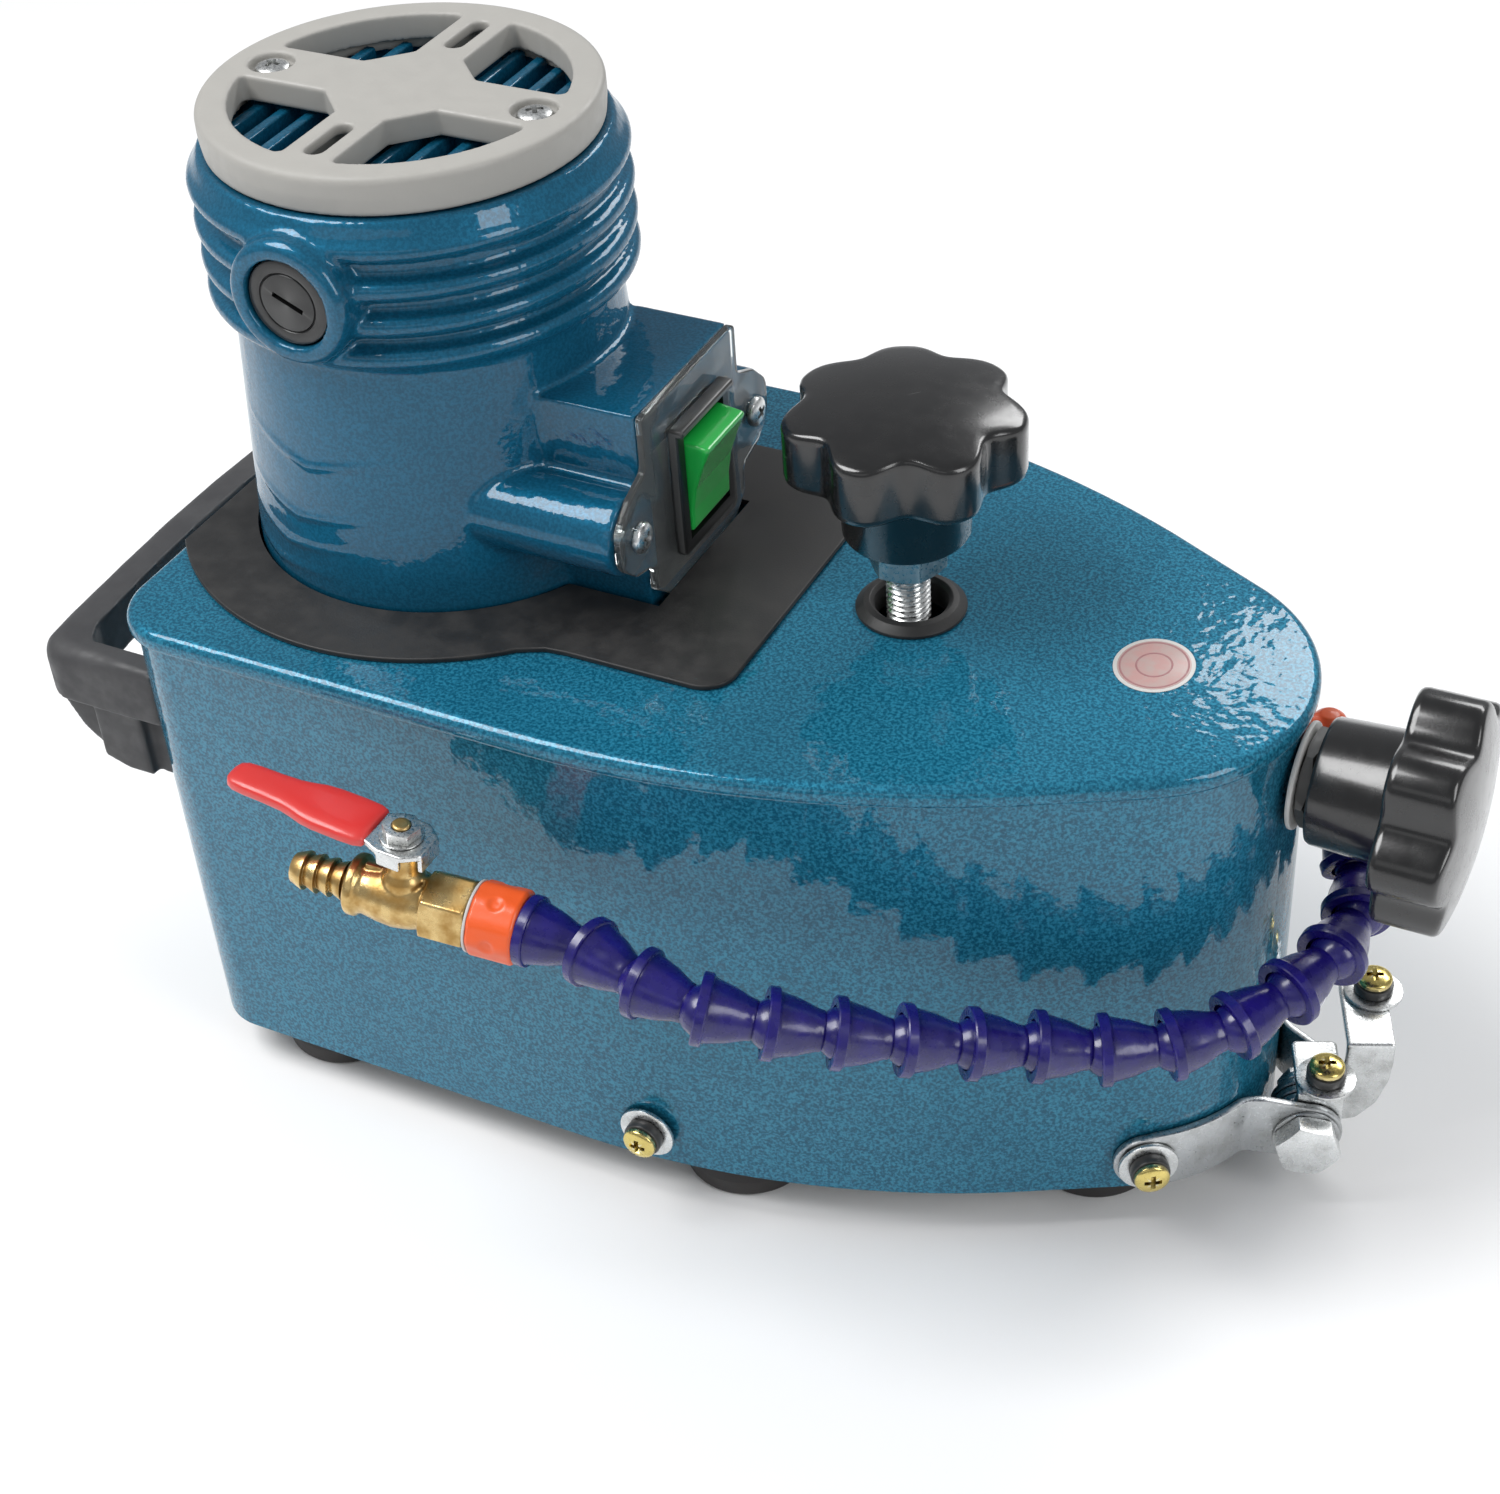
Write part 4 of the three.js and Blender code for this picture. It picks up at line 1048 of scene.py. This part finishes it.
def knobs():
    top = Span("height_knob")
    r = top.x1 - HEIGHT_SCREW_X - 0.5
    knob = star_knob(r, top.z1 - top.z0 - 1.0, **KNOB)
    turned(knob, 11.7, "Z")
    moved(knob, HEIGHT_SCREW_X, 0, top.z0)
    piece(knob, "height_knob_star", "height_drive", BAKELITE, ["height_knob"], sharp=40)
    front = Span("feed_knob")
    knob = star_knob(r, front.x1 - front.x0, **KNOB)
    turned(knob, 14, "Z")
    moved(to_x(knob), front.x0, 0, Span("feed_screw").z)
    piece(knob, "feed_knob_star", "feed_drive", BAKELITE, ["feed_knob"], sharp=40)


knobs()


def drive_screws():
    screw, knob = Span("height_screw"), Span("height_knob")
    x = HEIGHT_SCREW_X
    low = rod(5.6, screw.z0, PLATE_TOP - 8, 48, 0.5)
    worm = thread(6.0, 1.75, PLATE_TOP - 8.2, 176)
    high = rod(5.0, 175.8, screw.z1, 48, 0.5)
    piece(moved(union(low, worm, high), x), "height_screw_thread", "height_drive", ZINC, ["height_screw"])
    collar = hex_nut(10.8, 175.0, knob.z0 - 0.1, turn=10)
    cut(collar, rod(6.1, 170, 190))
    piece(moved(collar, x), "height_screw_collar", "height_drive", ZINC_DARK)
    feed = Span("feed_screw")
    bar = to_x(rod(5.0, feed.x0, feed.x1, 48, 0.6))
    piece(moved(bar, z=feed.z), "feed_screw_bar", "feed_drive", ZINC, ["feed_screw"])


drive_screws()


def feed_bush():
    bush = Span("feed_bush")
    wall = NOSE_X + NOSE_R
    nut = hex_nut(13.7, wall + 2.2, bush.x1, bore=5.6, turn=30)
    sleeve = lathe(rounded([(5.6, bush.x0), (8.4, bush.x0), (8.4, wall + 2.4), (5.6, wall + 2.4)], 0.4), 64, loop=True)
    piece(moved(to_x(union(nut, sleeve)), z=bush.z), "feed_bush_nut", "housing", SWITCH_BLACK, ["feed_bush"])
    ring = moved(washer(8.7, 14.6, 1.5, 0.5), z=wall + 0.5)
    piece(moved(to_x(ring), z=bush.z), "feed_bush_ring", "housing", WHITE)


feed_bush()

# ---- the motor ----
motor = Span("motor_housing")
MOTOR_TOP = motor.z1 + 0.3
FIN_HEIGHTS = [MOTOR_TOP - drop for drop in (7.7, 18.5, 28.5, 37.9)]
FIN_R, FIN_VALLEY = 58.2, 53.8
NECK = MOTOR_TOP - 44.5
BRUSH_Z = MOTOR_TOP - 21.5


def motor_profile():
    """Outer line of the casting, from the bottom up."""
    low = [(0, motor.z0), (20, motor.z0), (22, motor.z0 + 13), (48, motor.z0 + 23), (51, motor.z0 + 29), (51, PLATE_TOP - 16),
           (57.4, PLATE_TOP - 13), (57.4, PLATE_TOP + 1), (52.3, NECK)]
    fins = []
    for z in reversed(FIN_HEIGHTS):
        fins += [(FIN_VALLEY, z - 3.2), (FIN_R - 1.0, z - 2.4), (FIN_R, z - 1.0), (FIN_R, z + 1.0), (FIN_R - 1.0, z + 2.3),
                 (FIN_VALLEY, z + 3.2)]
    fins[-2:] = [(56.6, FIN_HEIGHTS[0] + 2.6), (54.2, MOTOR_TOP - 0.4)]
    return low + fins + [(50.5, MOTOR_TOP - 0.3), (50.5, MOTOR_TOP - 11), (0, MOTOR_TOP - 11)]


def motor_casting():
    body = lathe(motor_profile(), 128)
    for sign in (-1, 1):
        boss = lathe([(0, 40), (17.4, 40), (17.4, 59.5), (16.6, 61.3), (15.2, 62), (0, 62)], 72)
        union(body, moved(turned(to_y(boss), 0 if sign > 0 else 180, "Z"), z=BRUSH_Z))
    box_z0, box_z1 = PLATE_TOP - 4, PLATE_TOP + 59.5
    union(body, block(30, motor.x1, -26, 26, box_z0, box_z1))
    plate = Span("switch_plate")
    lug_z = plate.z0 + 28
    for sign in (-1, 1):
        union(body, moved(to_x(rod(11.5, 30, motor.x1)), y=sign * 33.5, z=lug_z))
    cut(body, rod(46.5, motor.z0 + 38, MOTOR_TOP - 16, 96))
    for sign in (-1, 1):
        socket = moved(turned(to_y(rod(12.2, 45, 80)), 0 if sign > 0 else 180, "Z"), z=BRUSH_Z)
        cut(body, socket)
    switch = Span("switch_body")
    cut(body, block(52, 90, -12.5, 12.5, switch.z0 + 2.5, switch.z1 - 2.5))
    cut(body, rod(7, motor.z0 - 5, MOTOR_TOP + 5))
    cast(body, 0.95, 3)
    return body


def flow_marks(obj):
    """Shallow wavy lines low on the casting's near side, left by the mould."""
    def move(x, y, z):
        r = math.hypot(x, y)
        angle = math.degrees(math.atan2(y, x))
        height = z - PLATE_TOP
        if 50 < r < 58.5 and 0 < height < 62 and -160 < angle < -60:
            wave = 0.0
            for i, base in enumerate((9, 17, 27, 44)):
                mid = -118 + 6 * i
                crest = base + abs(angle - mid) * (0.10 + 0.03 * i) - 3
                near = (height - crest) / 1.2
                fade = max(0.0, 1 - abs(angle - mid) / (26 + 3 * i))
                wave += math.exp(-near * near) * fade
            r_new = r + 0.7 * wave
            return Vector((x * r_new / r, y * r_new / r, z))
        return Vector((x, y, z))

    return displaced(obj, move)


piece(flow_marks(motor_casting()), "motor_casting", "lift_unit", MOTOR_PAINT, ["motor_housing"], sharp=60)


def louvre():
    """Cast bars under the vent cap."""
    bars = []
    z0, z1 = MOTOR_TOP - 7.5, MOTOR_TOP + 2.2
    for i in range(-5, 6):
        x = i * 8
        reach = math.sqrt(45.8 ** 2 - x * x)
        bars.append(block(x - 1.6, x + 1.6, -reach, reach, z0, z1, 0.7))
    grid = merge(*bars, moved(block(-45, 45, -4, 4, z0 - 0.5, z1 - 1.0, 0.6)))
    return grid


piece(louvre(), "motor_louvre", "lift_unit", MOTOR_PAINT)


def sector(sx, sy):
    """One vent opening: rim arc, two spoke edges and the cut-off hub corner."""
    rim, spoke_x, spoke_y = 44.5, 7.5, 9.5
    a0, a1 = math.degrees(math.asin(spoke_y / rim)), math.degrees(math.acos(spoke_x / rim))
    corners = arc(0, 0, rim, a0, a1, 10)
    outline = corners + [(spoke_x, 19), (17, spoke_y)]
    radii = [1.6] + [0] * (len(corners) - 2) + [1.6, 1.0, 1.0]
    return [(sx * x, sy * y) for x, y in rounded(outline, radii)]


def vent_cap():
    cap = Span("vent_cap")
    r, z0, z1 = cap.x1, cap.z0, cap.z1
    body = lathe([(0, z0), *rounded([(0, z0), (r - 0.6, z0), (r, z0 + 5), (r, z1), (0, z1)], [0, 0.6, 2, 1.8, 0],
                                    closed=False, steps=5)[1:-1], (0, z1)], 128)
    cut(body, rod(47.0, z0 - 3, z1 - 7.3, 96))
    for sx in (-1, 1):
        for sy in (-1, 1):
            cut(body, extrude(sector(sx, sy), z0 - 5, z1 + 5))
    for sign in (-1, 1):
        slot = [*arc(0, 6.2, 2.7, 0, 180, 10), *arc(0, -6.2, 2.7, 180, 360, 10)]
        cut(body, moved(block(-5.0, 5.0, -11.2, 11.2, z0 - 4, z1 - 3.4), y=sign * 33))
        cut(body, moved(extrude(slot, z0 - 5, z1 + 5), y=sign * 33))
        cut(body, moved(rod(6.2, z1 - 3.0, z1 + 5), x=sign * 40))
    return cast(body, 0.6, 2)


piece(vent_cap(), "vent_cap_moulding", "lift_unit", GREY, ["vent_cap"], sharp=50)


def cap_screws():
    for side, sign in (("near", -1), ("far", 1)):
        box = Span(f"cap_screw_{side}")
        seat = Span("vent_cap").z1 - 3.0 + 0.1
        head = union(pan_head(4.7, 2.7), rod(2.0, -12, 0.5, 24))
        turned(head, 20 * sign + 15, "Z")
        piece(moved(head, box.x, 0, seat), f"cap_screw_{side}_head", "lift_unit", ZINC, [f"cap_screw_{side}"])


cap_screws()


def brush_caps():
    for side, sign in (("near", -1), ("far", 1)):
        face = 60.5
        cap = lathe([(0, 49), (11.7, 49), *rounded([(11.7, 49), (11.7, face), (8.4, face), (8.1, face - 0.7), (7.8, face),
                     (0, face)], [0, 0.7, 0.2, 0.2, 0.2, 0], closed=False, steps=2)[1:-1], (0, face)], 72)
        cut(cap, block(-4.6, 4.6, -0.7, 0.7, face - 1.6, face + 2))
        turned(cap, -24, "Z")
        cap = turned(to_y(cap), 0 if sign > 0 else 180, "Z")
        piece(moved(cap, z=BRUSH_Z), f"brush_cap_{side}_plug", "lift_unit", SWITCH_BLACK, [f"brush_cap_{side}"])


brush_caps()


# ---- the switch ----
def facing_x(outline, x, thick, edge=0.4):
    """An outline drawn in Y and Z, as a plate whose back is at x."""
    plate = extrude(outline, 0, thick, edge)
    return displaced(plate, lambda a, b, c: Vector((x + c, a, b)))


def switch_parts():
    cover = Span("switch_plate")
    z = cover.z0
    right = [(19, z), (26.3, z + 6), (26.3, z + 14), (36, z + 16.5), (42.6, z + 22.5), (42.6, z + 33.5), (36, z + 39.8),
             (26.3, z + 44), (26.3, cover.z1)]
    outline = right + [(-a, b) for a, b in reversed(right)]
    sheet = facing_x(rounded(outline, [1.5, 2, 3, 4, 6, 6, 4, 3, 1.5] + [1.5, 3, 4, 6, 6, 4, 3, 2, 1.5]), cover.x0, 2.4, 0.5)
    body = Span("switch_body")
    cut(sheet, block(cover.x0 - 5, cover.x1 + 5, -12.6, 12.6, body.z0 + 3, body.z1 - 2.6))
    for sign in (-1, 1):
        cut(sheet, moved(to_x(rod(2.3, cover.x0 - 5, cover.x1 + 5)), y=sign * 33.5, z=z + 28))
    piece(sheet, "switch_cover_sheet", "lift_unit", CLEAR, ["switch_plate"])

    seal = facing_x(rounded([(-23, z + 3), (23, z + 3), (23, z + 46), (-23, z + 46)], 3), motor.x1 + 0.02, 0.24, 0.05)
    cut(seal, block(60, 90, -12.6, 12.6, body.z0 + 2.5, body.z1 - 2.5))
    piece(seal, "switch_seal", "lift_unit", SWITCH_BLACK)

    x0 = cover.x1 + 0.1
    case = block(body.x0, x0 + 1, -12.2, 12.2, body.z0 + 3.3, body.z1 - 2.9)
    bezel = facing_x(rounded([(-15, body.z0), (15, body.z0), (15, body.z1), (-15, body.z1)], 1.5), x0, 3.0, 0.7)
    hood = facing_x(rounded([(-15, body.z1 - 2.4), (15, body.z1 - 2.4), (15, body.z1), (-15, body.z1)], 0.9), x0, 4.7, 0.8)
    frame_part = union(case, bezel, hood)
    cut(frame_part, block(body.x0 + 10, 100, -11.4, 11.4, body.z0 + 4, body.z1 - 3.1))
    piece(frame_part, "switch_frame", "lift_unit", SWITCH_BLACK, ["switch_body"])

    for side, sign in (("near", -1), ("far", 1)):
        head = union(pan_head(4.3, 2.7), rod(2.0, -13, 0.5, 24))
        turned(head, 25 * sign, "Z")
        piece(moved(to_x(head), cover.x1 + 0.1, sign * 33.5, z + 28), f"switch_screw_{side}_head", "lift_unit", ZINC,
              [f"switch_screw_{side}"])


switch_parts()


def switch_rocker():
    """A rocker with a hollowed face: its top stands out and its foot is pressed in."""
    box = Span("switch_rocker")
    x, z = box.x1, box.z0
    high = box.z1
    face = [(x - 6.6, z + 0.6), (x - 6.4, z + 7), (x - 5.2, z + 14), (x - 2.8, z + 21), (x, high - 1.3)]
    back = [(x - 8.6, high), (x - 14.5, z + 22), (x - 16.5, z + 14), (x - 14.8, z + 5), (x - 10.6, z)]
    radii = [1.0, 6, 6, 6, 0.9, 1.0, 1, 1, 1, 1]
    half = box.y1 - 0.1
    profile = rounded(face + back, radii)
    body = moved(turned(extrude(profile, 0, 2 * half, 0.8), 90, "X"), y=half)
    return cast(body, 0.3, 2)


piece(switch_rocker(), "rocker_cap", "rocker", GREEN, ["switch_rocker"], sharp=50)


# ---- the water valve ----
VALVE_TILT = 6.0
VALVE_YAW = 8.0
valve_at = [v / MM for v in joint_of["valve_turn"]["pos_m"]]


def valve_frame(obj):
    """From the valve's own frame (+X along the pipe, +Z up its stem) to its place."""
    turned(obj, VALVE_TILT, "Y")
    turned(obj, VALVE_YAW, "Z")
    return moved(obj, *valve_at)


def valve_barb():
    """The hose tail: four sharp saw teeth on a short tube."""
    profile = [(2.8, -31.8), (3.9, -31.8)]
    for i in range(4):
        x = -31.6 + i * 3.8
        profile += [(4.1, x), (5.4, x + 3.2), (5.4, x + 3.5), (4.2, x + 3.7)]
    return to_x(lathe([*profile, (4.2, -14), (2.8, -14)], 72, loop=True))


def valve_body():
    collar = [(2.9, -15.0), (7.9, -15.0), (8.5, -14.3), (8.5, -12.4), (7.7, -11.7)]
    barrel = [(7.3, -10.6), (8.2, -6), (8.7, -1.5), (8.2, 3), (7.3, 6.4), (7.3, 7.6), (2.8, 7.6)]
    pipe = lathe(collar + barrel, 72, loop=True)
    hexagon_end = hex_nut(10.2, 6.9, 19.9, bore=2.9, turn=46)
    pipe = union(to_x(pipe), to_x(hexagon_end))
    neck = lathe([(0, 2), (7.0, 2), (5.6, 8.6), (4.4, 10.4), (4.2, 12), (4.2, 19.7), (0, 19.7)], 48)
    stem = rod(2.5, 12, 26.3, 32, 0.4)
    seam = block(-10.8, 8, -1.0, 1.0, -1, 8.9, 0.4)
    return cast(union(pipe, neck, stem, seam), 0.4, 2)


piece(valve_frame(valve_body()), "valve_casting", "hose_end_run", BRASS, ["valve_body"], sharp=60)
piece(valve_frame(valve_barb()), "valve_barb_tube", "hose_end_run", BRASS)


def lever_sections():
    """Place, half width and half thickness of the red sleeve, from its free end to the hub."""
    return [(-52.5, 0.8, 0.5), (-52.2, 2.6, 1.2), (-51.3, 3.9, 1.8), (-49.5, 4.7, 2.1), (-46.0, 5.0, 2.2), (-40.0, 5.1, 2.2),
            (-34.0, 5.5, 2.2), (-30.5, 6.2, 2.3), (-27.0, 7.2, 2.4), (-23.0, 7.7, 2.4), (-15.0, 7.8, 2.4), (-10.5, 7.6, 2.3),
            (-8.4, 7.0, 2.0), (-7.8, 6.4, 1.5), (-7.6, 5.6, 0.9)]


def valve_lever():
    height = 20.9
    sides = 40
    rings = []
    for x, width, thick in lever_sections():
        ring = []
        for k in range(sides):
            a = 2 * math.pi * k / sides
            c, s = math.cos(a), math.sin(a)
            y = width * math.copysign(abs(c) ** 0.55, c)
            z = thick * math.copysign(abs(s) ** 0.6, s)
            ring.append((x, y, height + z))
        rings.append(ring)
    sleeve = loft(rings)
    turned(sleeve, -8, "Z")
    piece(valve_frame(sleeve), "lever_sleeve", "lever", RED, ["valve_lever"], sharp=60)

    hub = rounded([(-9, -5.6), (-3, -7.9), (4, -7.6), (8.4, -4.4), (8.4, 4.4), (4, 7.6), (-3, 7.9), (-9, 5.6)], 2.0)
    plate = extrude(hub, 20.0, 21.8, 0.4)
    stop = block(7.0, 8.5, -4.3, 4.3, 15.7, 21.5, 0.4)
    side_lug = block(-3.4, 3.4, -7.7, -6.2, 16.5, 21.5, 0.4)
    sheet = union(plate, stop, side_lug)
    cut(sheet, rod(2.8, 10, 30))
    turned(sheet, -8, "Z")
    piece(valve_frame(cast(sheet, 0.3, 2)), "lever_hub", "lever", ZINC, sharp=50)
    rest = lathe(rounded([(2.7, 21.9), (5.8, 21.9), (5.8, 22.5), (2.7, 22.5)], 0.15), 48, loop=True)
    nut = union(hex_nut(5.2, 22.4, 25.6, bore=2.7, turn=10), rest)
    piece(valve_frame(nut), "lever_nut", "lever", ZINC)


valve_lever()


def hose_nut():
    """The orange nut: a soft ten-sided barrel with a ring of thumb dimples."""
    sides, rows = 200, 44
    x0, x1 = 20.5, 33.6
    rings = []
    for i in range(rows + 1):
        x = x0 + (x1 - x0) * i / rows
        edge = min(x - x0, x1 - x)
        round_off = 0.9 * max(0.0, 1 - edge / 1.2) ** 2
        ring = []
        for k in range(sides):
            a = 2 * math.pi * k / sides
            r = 10.3 - 0.28 * (1 - math.cos(10 * a)) / 2 - round_off
            spot = ((a * 5 / (2 * math.pi)) % 1.0 - 0.5) * 2 * math.pi * 10.3 / 5
            far = math.hypot(spot, x - (x0 + x1) / 2)
            r -= 0.75 * math.exp(-((far / 1.9) ** 4))
            ring.append((x, r * math.cos(a), r * math.sin(a)))
        rings.append(ring)
    barrel = loft(rings)
    cut(barrel, to_x(rod(5.5, 15, 40)))
    piece(valve_frame(barrel), "hose_nut_barrel", "hose_end_run", ORANGE, ["hose_nut"], sharp=50)
    seal = moved(washer(5.6, 9.9, 0.8, 0.3), z=19.8)
    piece(valve_frame(to_x(seal)), "hose_nut_seal", "hose_end_run", WHITE)


hose_nut()


# ---- the segmented hose ----
PATH = [(77.8, -107.3, 112), (92.5, -106, 110.6), (126, -111.5, 107.5), (168, -95.5, 97.5), (209, -70.5, 86.5), (222, -63.5, 84),
        (246, -49, 85), (263, -25.5, 90), (269.5, -4, 91.5), (267, 13, 93), (258.5, 27, 99), (251.5, 34.5, 108),
        (248.5, 36.6, 117.7)]
ELEMENTS = 17
RUNS = (("hose_end_run", "hose_tail", 0, 5), ("hose_mid_run", "hose_middle", 5, 12), ("housing", "hose_root", 12, 17))


def hose_curve():
    """The path as evenly spaced points, by centripetal Catmull-Rom between the way points."""
    pts = [np.array(p, float) for p in PATH]
    pts = [2 * pts[0] - pts[1], *pts, 2 * pts[-1] - pts[-2]]
    dense = []
    for p0, p1, p2, p3 in zip(pts, pts[1:], pts[2:], pts[3:]):
        t0 = 0.0
        t1 = t0 + np.linalg.norm(p1 - p0) ** 0.5
        t2 = t1 + np.linalg.norm(p2 - p1) ** 0.5
        t3 = t2 + np.linalg.norm(p3 - p2) ** 0.5
        for k in range(40):
            t = t1 + (t2 - t1) * k / 40
            a1 = (t1 - t) / (t1 - t0) * p0 + (t - t0) / (t1 - t0) * p1
            a2 = (t2 - t) / (t2 - t1) * p1 + (t - t1) / (t2 - t1) * p2
            a3 = (t3 - t) / (t3 - t2) * p2 + (t - t2) / (t3 - t2) * p3
            b1 = (t2 - t) / (t2 - t0) * a1 + (t - t0) / (t2 - t0) * a2
            b2 = (t3 - t) / (t3 - t1) * a2 + (t - t1) / (t3 - t1) * a3
            dense.append((t2 - t) / (t2 - t1) * b1 + (t - t1) / (t2 - t1) * b2)
    dense.append(pts[-2])
    steps = np.cumsum([0] + [np.linalg.norm(b - a) for a, b in zip(dense, dense[1:])])
    wanted = np.linspace(0, steps[-1], ELEMENTS + 1)
    return [Vector([float(np.interp(w, steps, [p[k] for p in dense])) for k in range(3)]) for w in wanted]


def hose_element(length):
    """One bell: an open socket with a lip at z = 0, a waist and a hollow ball at the far end."""
    lip, waist, ball, bore = 9.7, 5.5, 7.1, 3.0
    centre = length + 2.6
    dome = [(ball * math.cos(t), centre + ball * math.sin(t)) for t in
            [math.radians(-44 + 104 * i / 10) for i in range(11)]]
    outer = [(lip - 0.3, 0.0), (lip, 0.35), (lip, 2.6), (lip - 0.25, 2.95), (lip - 0.85, 3.1), (lip - 1.15, 3.6),
             (7.4, length - 9.0), (6.1, length - 5.4), (waist, length - 3.6), (waist, length - 2.9)]
    inner = [(bore, dome[-1][1]), (bore, 9.0), (4.6, 8.0)]
    socket = [(7.5 * math.cos(t), 2.6 + 7.5 * math.sin(t)) for t in [math.radians(46 - 66 * i / 6) for i in range(7)]]
    return lathe([*outer, *dome, *inner, *socket, (8.3, -0.0)], 56, loop=True)


def place_element(obj, start, end):
    turn = Vector((0, 0, 1)).rotation_difference(end - start)
    obj.data.transform(turn.to_matrix().to_4x4())
    return moved(obj, *start)


def hose():
    points = hose_curve()
    for body, node, first, last in RUNS:
        for i in range(first, last):
            start, end = points[i], points[i + 1]
            element = place_element(hose_element((end - start).length), start, end)
            stands_for = [node] if i == first else []
            piece(element, f"hose_element_{i + 1:02d}", body, VIOLET, stands_for, sharp=35)


hose()


def water_fitting():
    fitting = Span("water_fitting")
    angle, reach, z = 38.0, 59.5, fitting.z1 - 6.8
    stub = rod(4.6, 44, reach, 32)
    flange = hex_nut(8.2, NOSE_R + 0.5, NOSE_R + 4.6)
    knee = lathe([(0, -5.0), (6.6, -5.0), (6.7, -4.2), (5.5, 0.5), (5.2, 1.8), (4.3, 3.4), (2.6, 4.8), (0, 5.2)], 40)
    elbow = union(to_x(stub), to_x(flange), moved(knee, x=reach))
    cast(elbow, 0.4, 2)
    return moved(turned(elbow, angle, "Z"), x=NOSE_X, z=z)


piece(water_fitting(), "water_fitting_elbow", "housing", ORANGE, ["water_fitting"], sharp=60)


def sticker():
    """A plain oval sticker on the cover: a pale border, a pink face and two printed rings, with no lettering."""
    def oval(scale):
        return [(10.6 * scale * x, 11.6 * scale * y) for x, y in arc(0, 0, 1, 0, 360, 64)[:-1]]

    def ring(outer, inner, name):
        band = extrude(oval(outer), PLATE_TOP + 0.05, PLATE_TOP + 0.26, 0.04)
        cut(band, extrude(oval(inner), PLATE_TOP, PLATE_TOP + 1))
        piece(moved(band, 210, 0), name, "housing", PRINT)

    piece(moved(extrude(oval(1.0), PLATE_TOP, PLATE_TOP + 0.16, 0.05), 210, 0), "sticker_border", "housing", WHITE)
    piece(moved(extrude(oval(0.9), PLATE_TOP + 0.03, PLATE_TOP + 0.22, 0.05), 210, 0), "sticker_face", "housing", STICKER)
    ring(0.86, 0.81, "sticker_outer_ring")
    ring(0.46, 0.41, "sticker_inner_ring")


sticker()

# ---- studio ----
CAMERA = {"place": (0.37685, -0.51594, 0.57328), "azimuth": 27.5, "down": 38.77, "roll": -3.15, "lens": 62.52,
          "shift": (-0.0396, -0.0072)}


def camera():
    az, down, roll = (math.radians(CAMERA[k]) for k in ("azimuth", "down", "roll"))
    forward = Vector((-math.sin(az) * math.cos(down), math.cos(az) * math.cos(down), -math.sin(down)))
    right = Vector((math.cos(az), math.sin(az), 0))
    up = right.cross(forward)
    cam_x = right * math.cos(roll) + up * math.sin(roll)
    cam_y = -right * math.sin(roll) + up * math.cos(roll)
    turn = Matrix((cam_x, cam_y, -forward)).transposed()
    data = bpy.data.cameras.new("camera")
    data.lens = CAMERA["lens"]
    data.shift_x, data.shift_y = CAMERA["shift"]
    data.clip_start, data.clip_end = 0.01, 50
    obj = bpy.data.objects.new("camera", data)
    obj.matrix_world = Matrix.Translation(CAMERA["place"]) @ turn.to_4x4()
    bpy.context.scene.collection.objects.link(obj)
    bpy.context.scene.camera = obj


def softbox(name, place, target, size, power, tint=(1, 1, 1)):
    data = bpy.data.lights.new(name, "AREA")
    data.shape = "RECTANGLE"
    data.size, data.size_y = size
    data.energy = power
    data.color = tint
    obj = bpy.data.objects.new(name, data)
    obj.location = place
    obj.rotation_mode = "QUATERNION"
    obj.rotation_quaternion = (Vector(target) - Vector(place)).to_track_quat("-Z", "Y")
    bpy.context.scene.collection.objects.link(obj)


def studio():
    lo, hi = cad_box
    floor_mesh = bpy.data.meshes.new("floor")
    reach, z = 6.0, lo.z - 0.0002
    floor_mesh.from_pydata([(-reach, -reach, z), (reach, -reach, z), (reach, reach, z), (-reach, reach, z)], [], [(0, 1, 2, 3)])
    floor = bpy.data.objects.new("floor", floor_mesh)
    floor_mesh.materials.append(floor_paint())
    bpy.context.scene.collection.objects.link(floor)
    world = bpy.data.worlds.new("studio")
    bpy.context.scene.world = world
    world.use_nodes = True
    background = world.node_tree.nodes["Background"]
    background.inputs["Color"].default_value = (0.95, 0.97, 1.0, 1)
    seen_directly = world.node_tree.nodes.new("ShaderNodeLightPath").outputs["Is Camera Ray"]
    strength = world.node_tree.nodes.new("ShaderNodeMapRange")
    strength.inputs["To Min"].default_value = 0.34
    strength.inputs["To Max"].default_value = 1.0
    world.node_tree.links.new(seen_directly, strength.inputs["Value"])
    world.node_tree.links.new(strength.outputs["Result"], background.inputs["Strength"])
    middle = (0.08, 0.0, 0.12)
    softbox("key", (-0.7, -0.5, 1.5), middle, (0.9, 0.9), 26)
    softbox("back", (0.5, 1.5, 1.3), middle, (1.2, 0.5), 14)
    softbox("side", (1.5, -0.4, 0.9), middle, (0.5, 1.0), 8)
    softbox("front", (0.2, -1.6, 0.9), middle, (1.6, 0.5), 1.2)
    bpy.context.scene.view_settings.view_transform = "Standard"


camera()
studio()
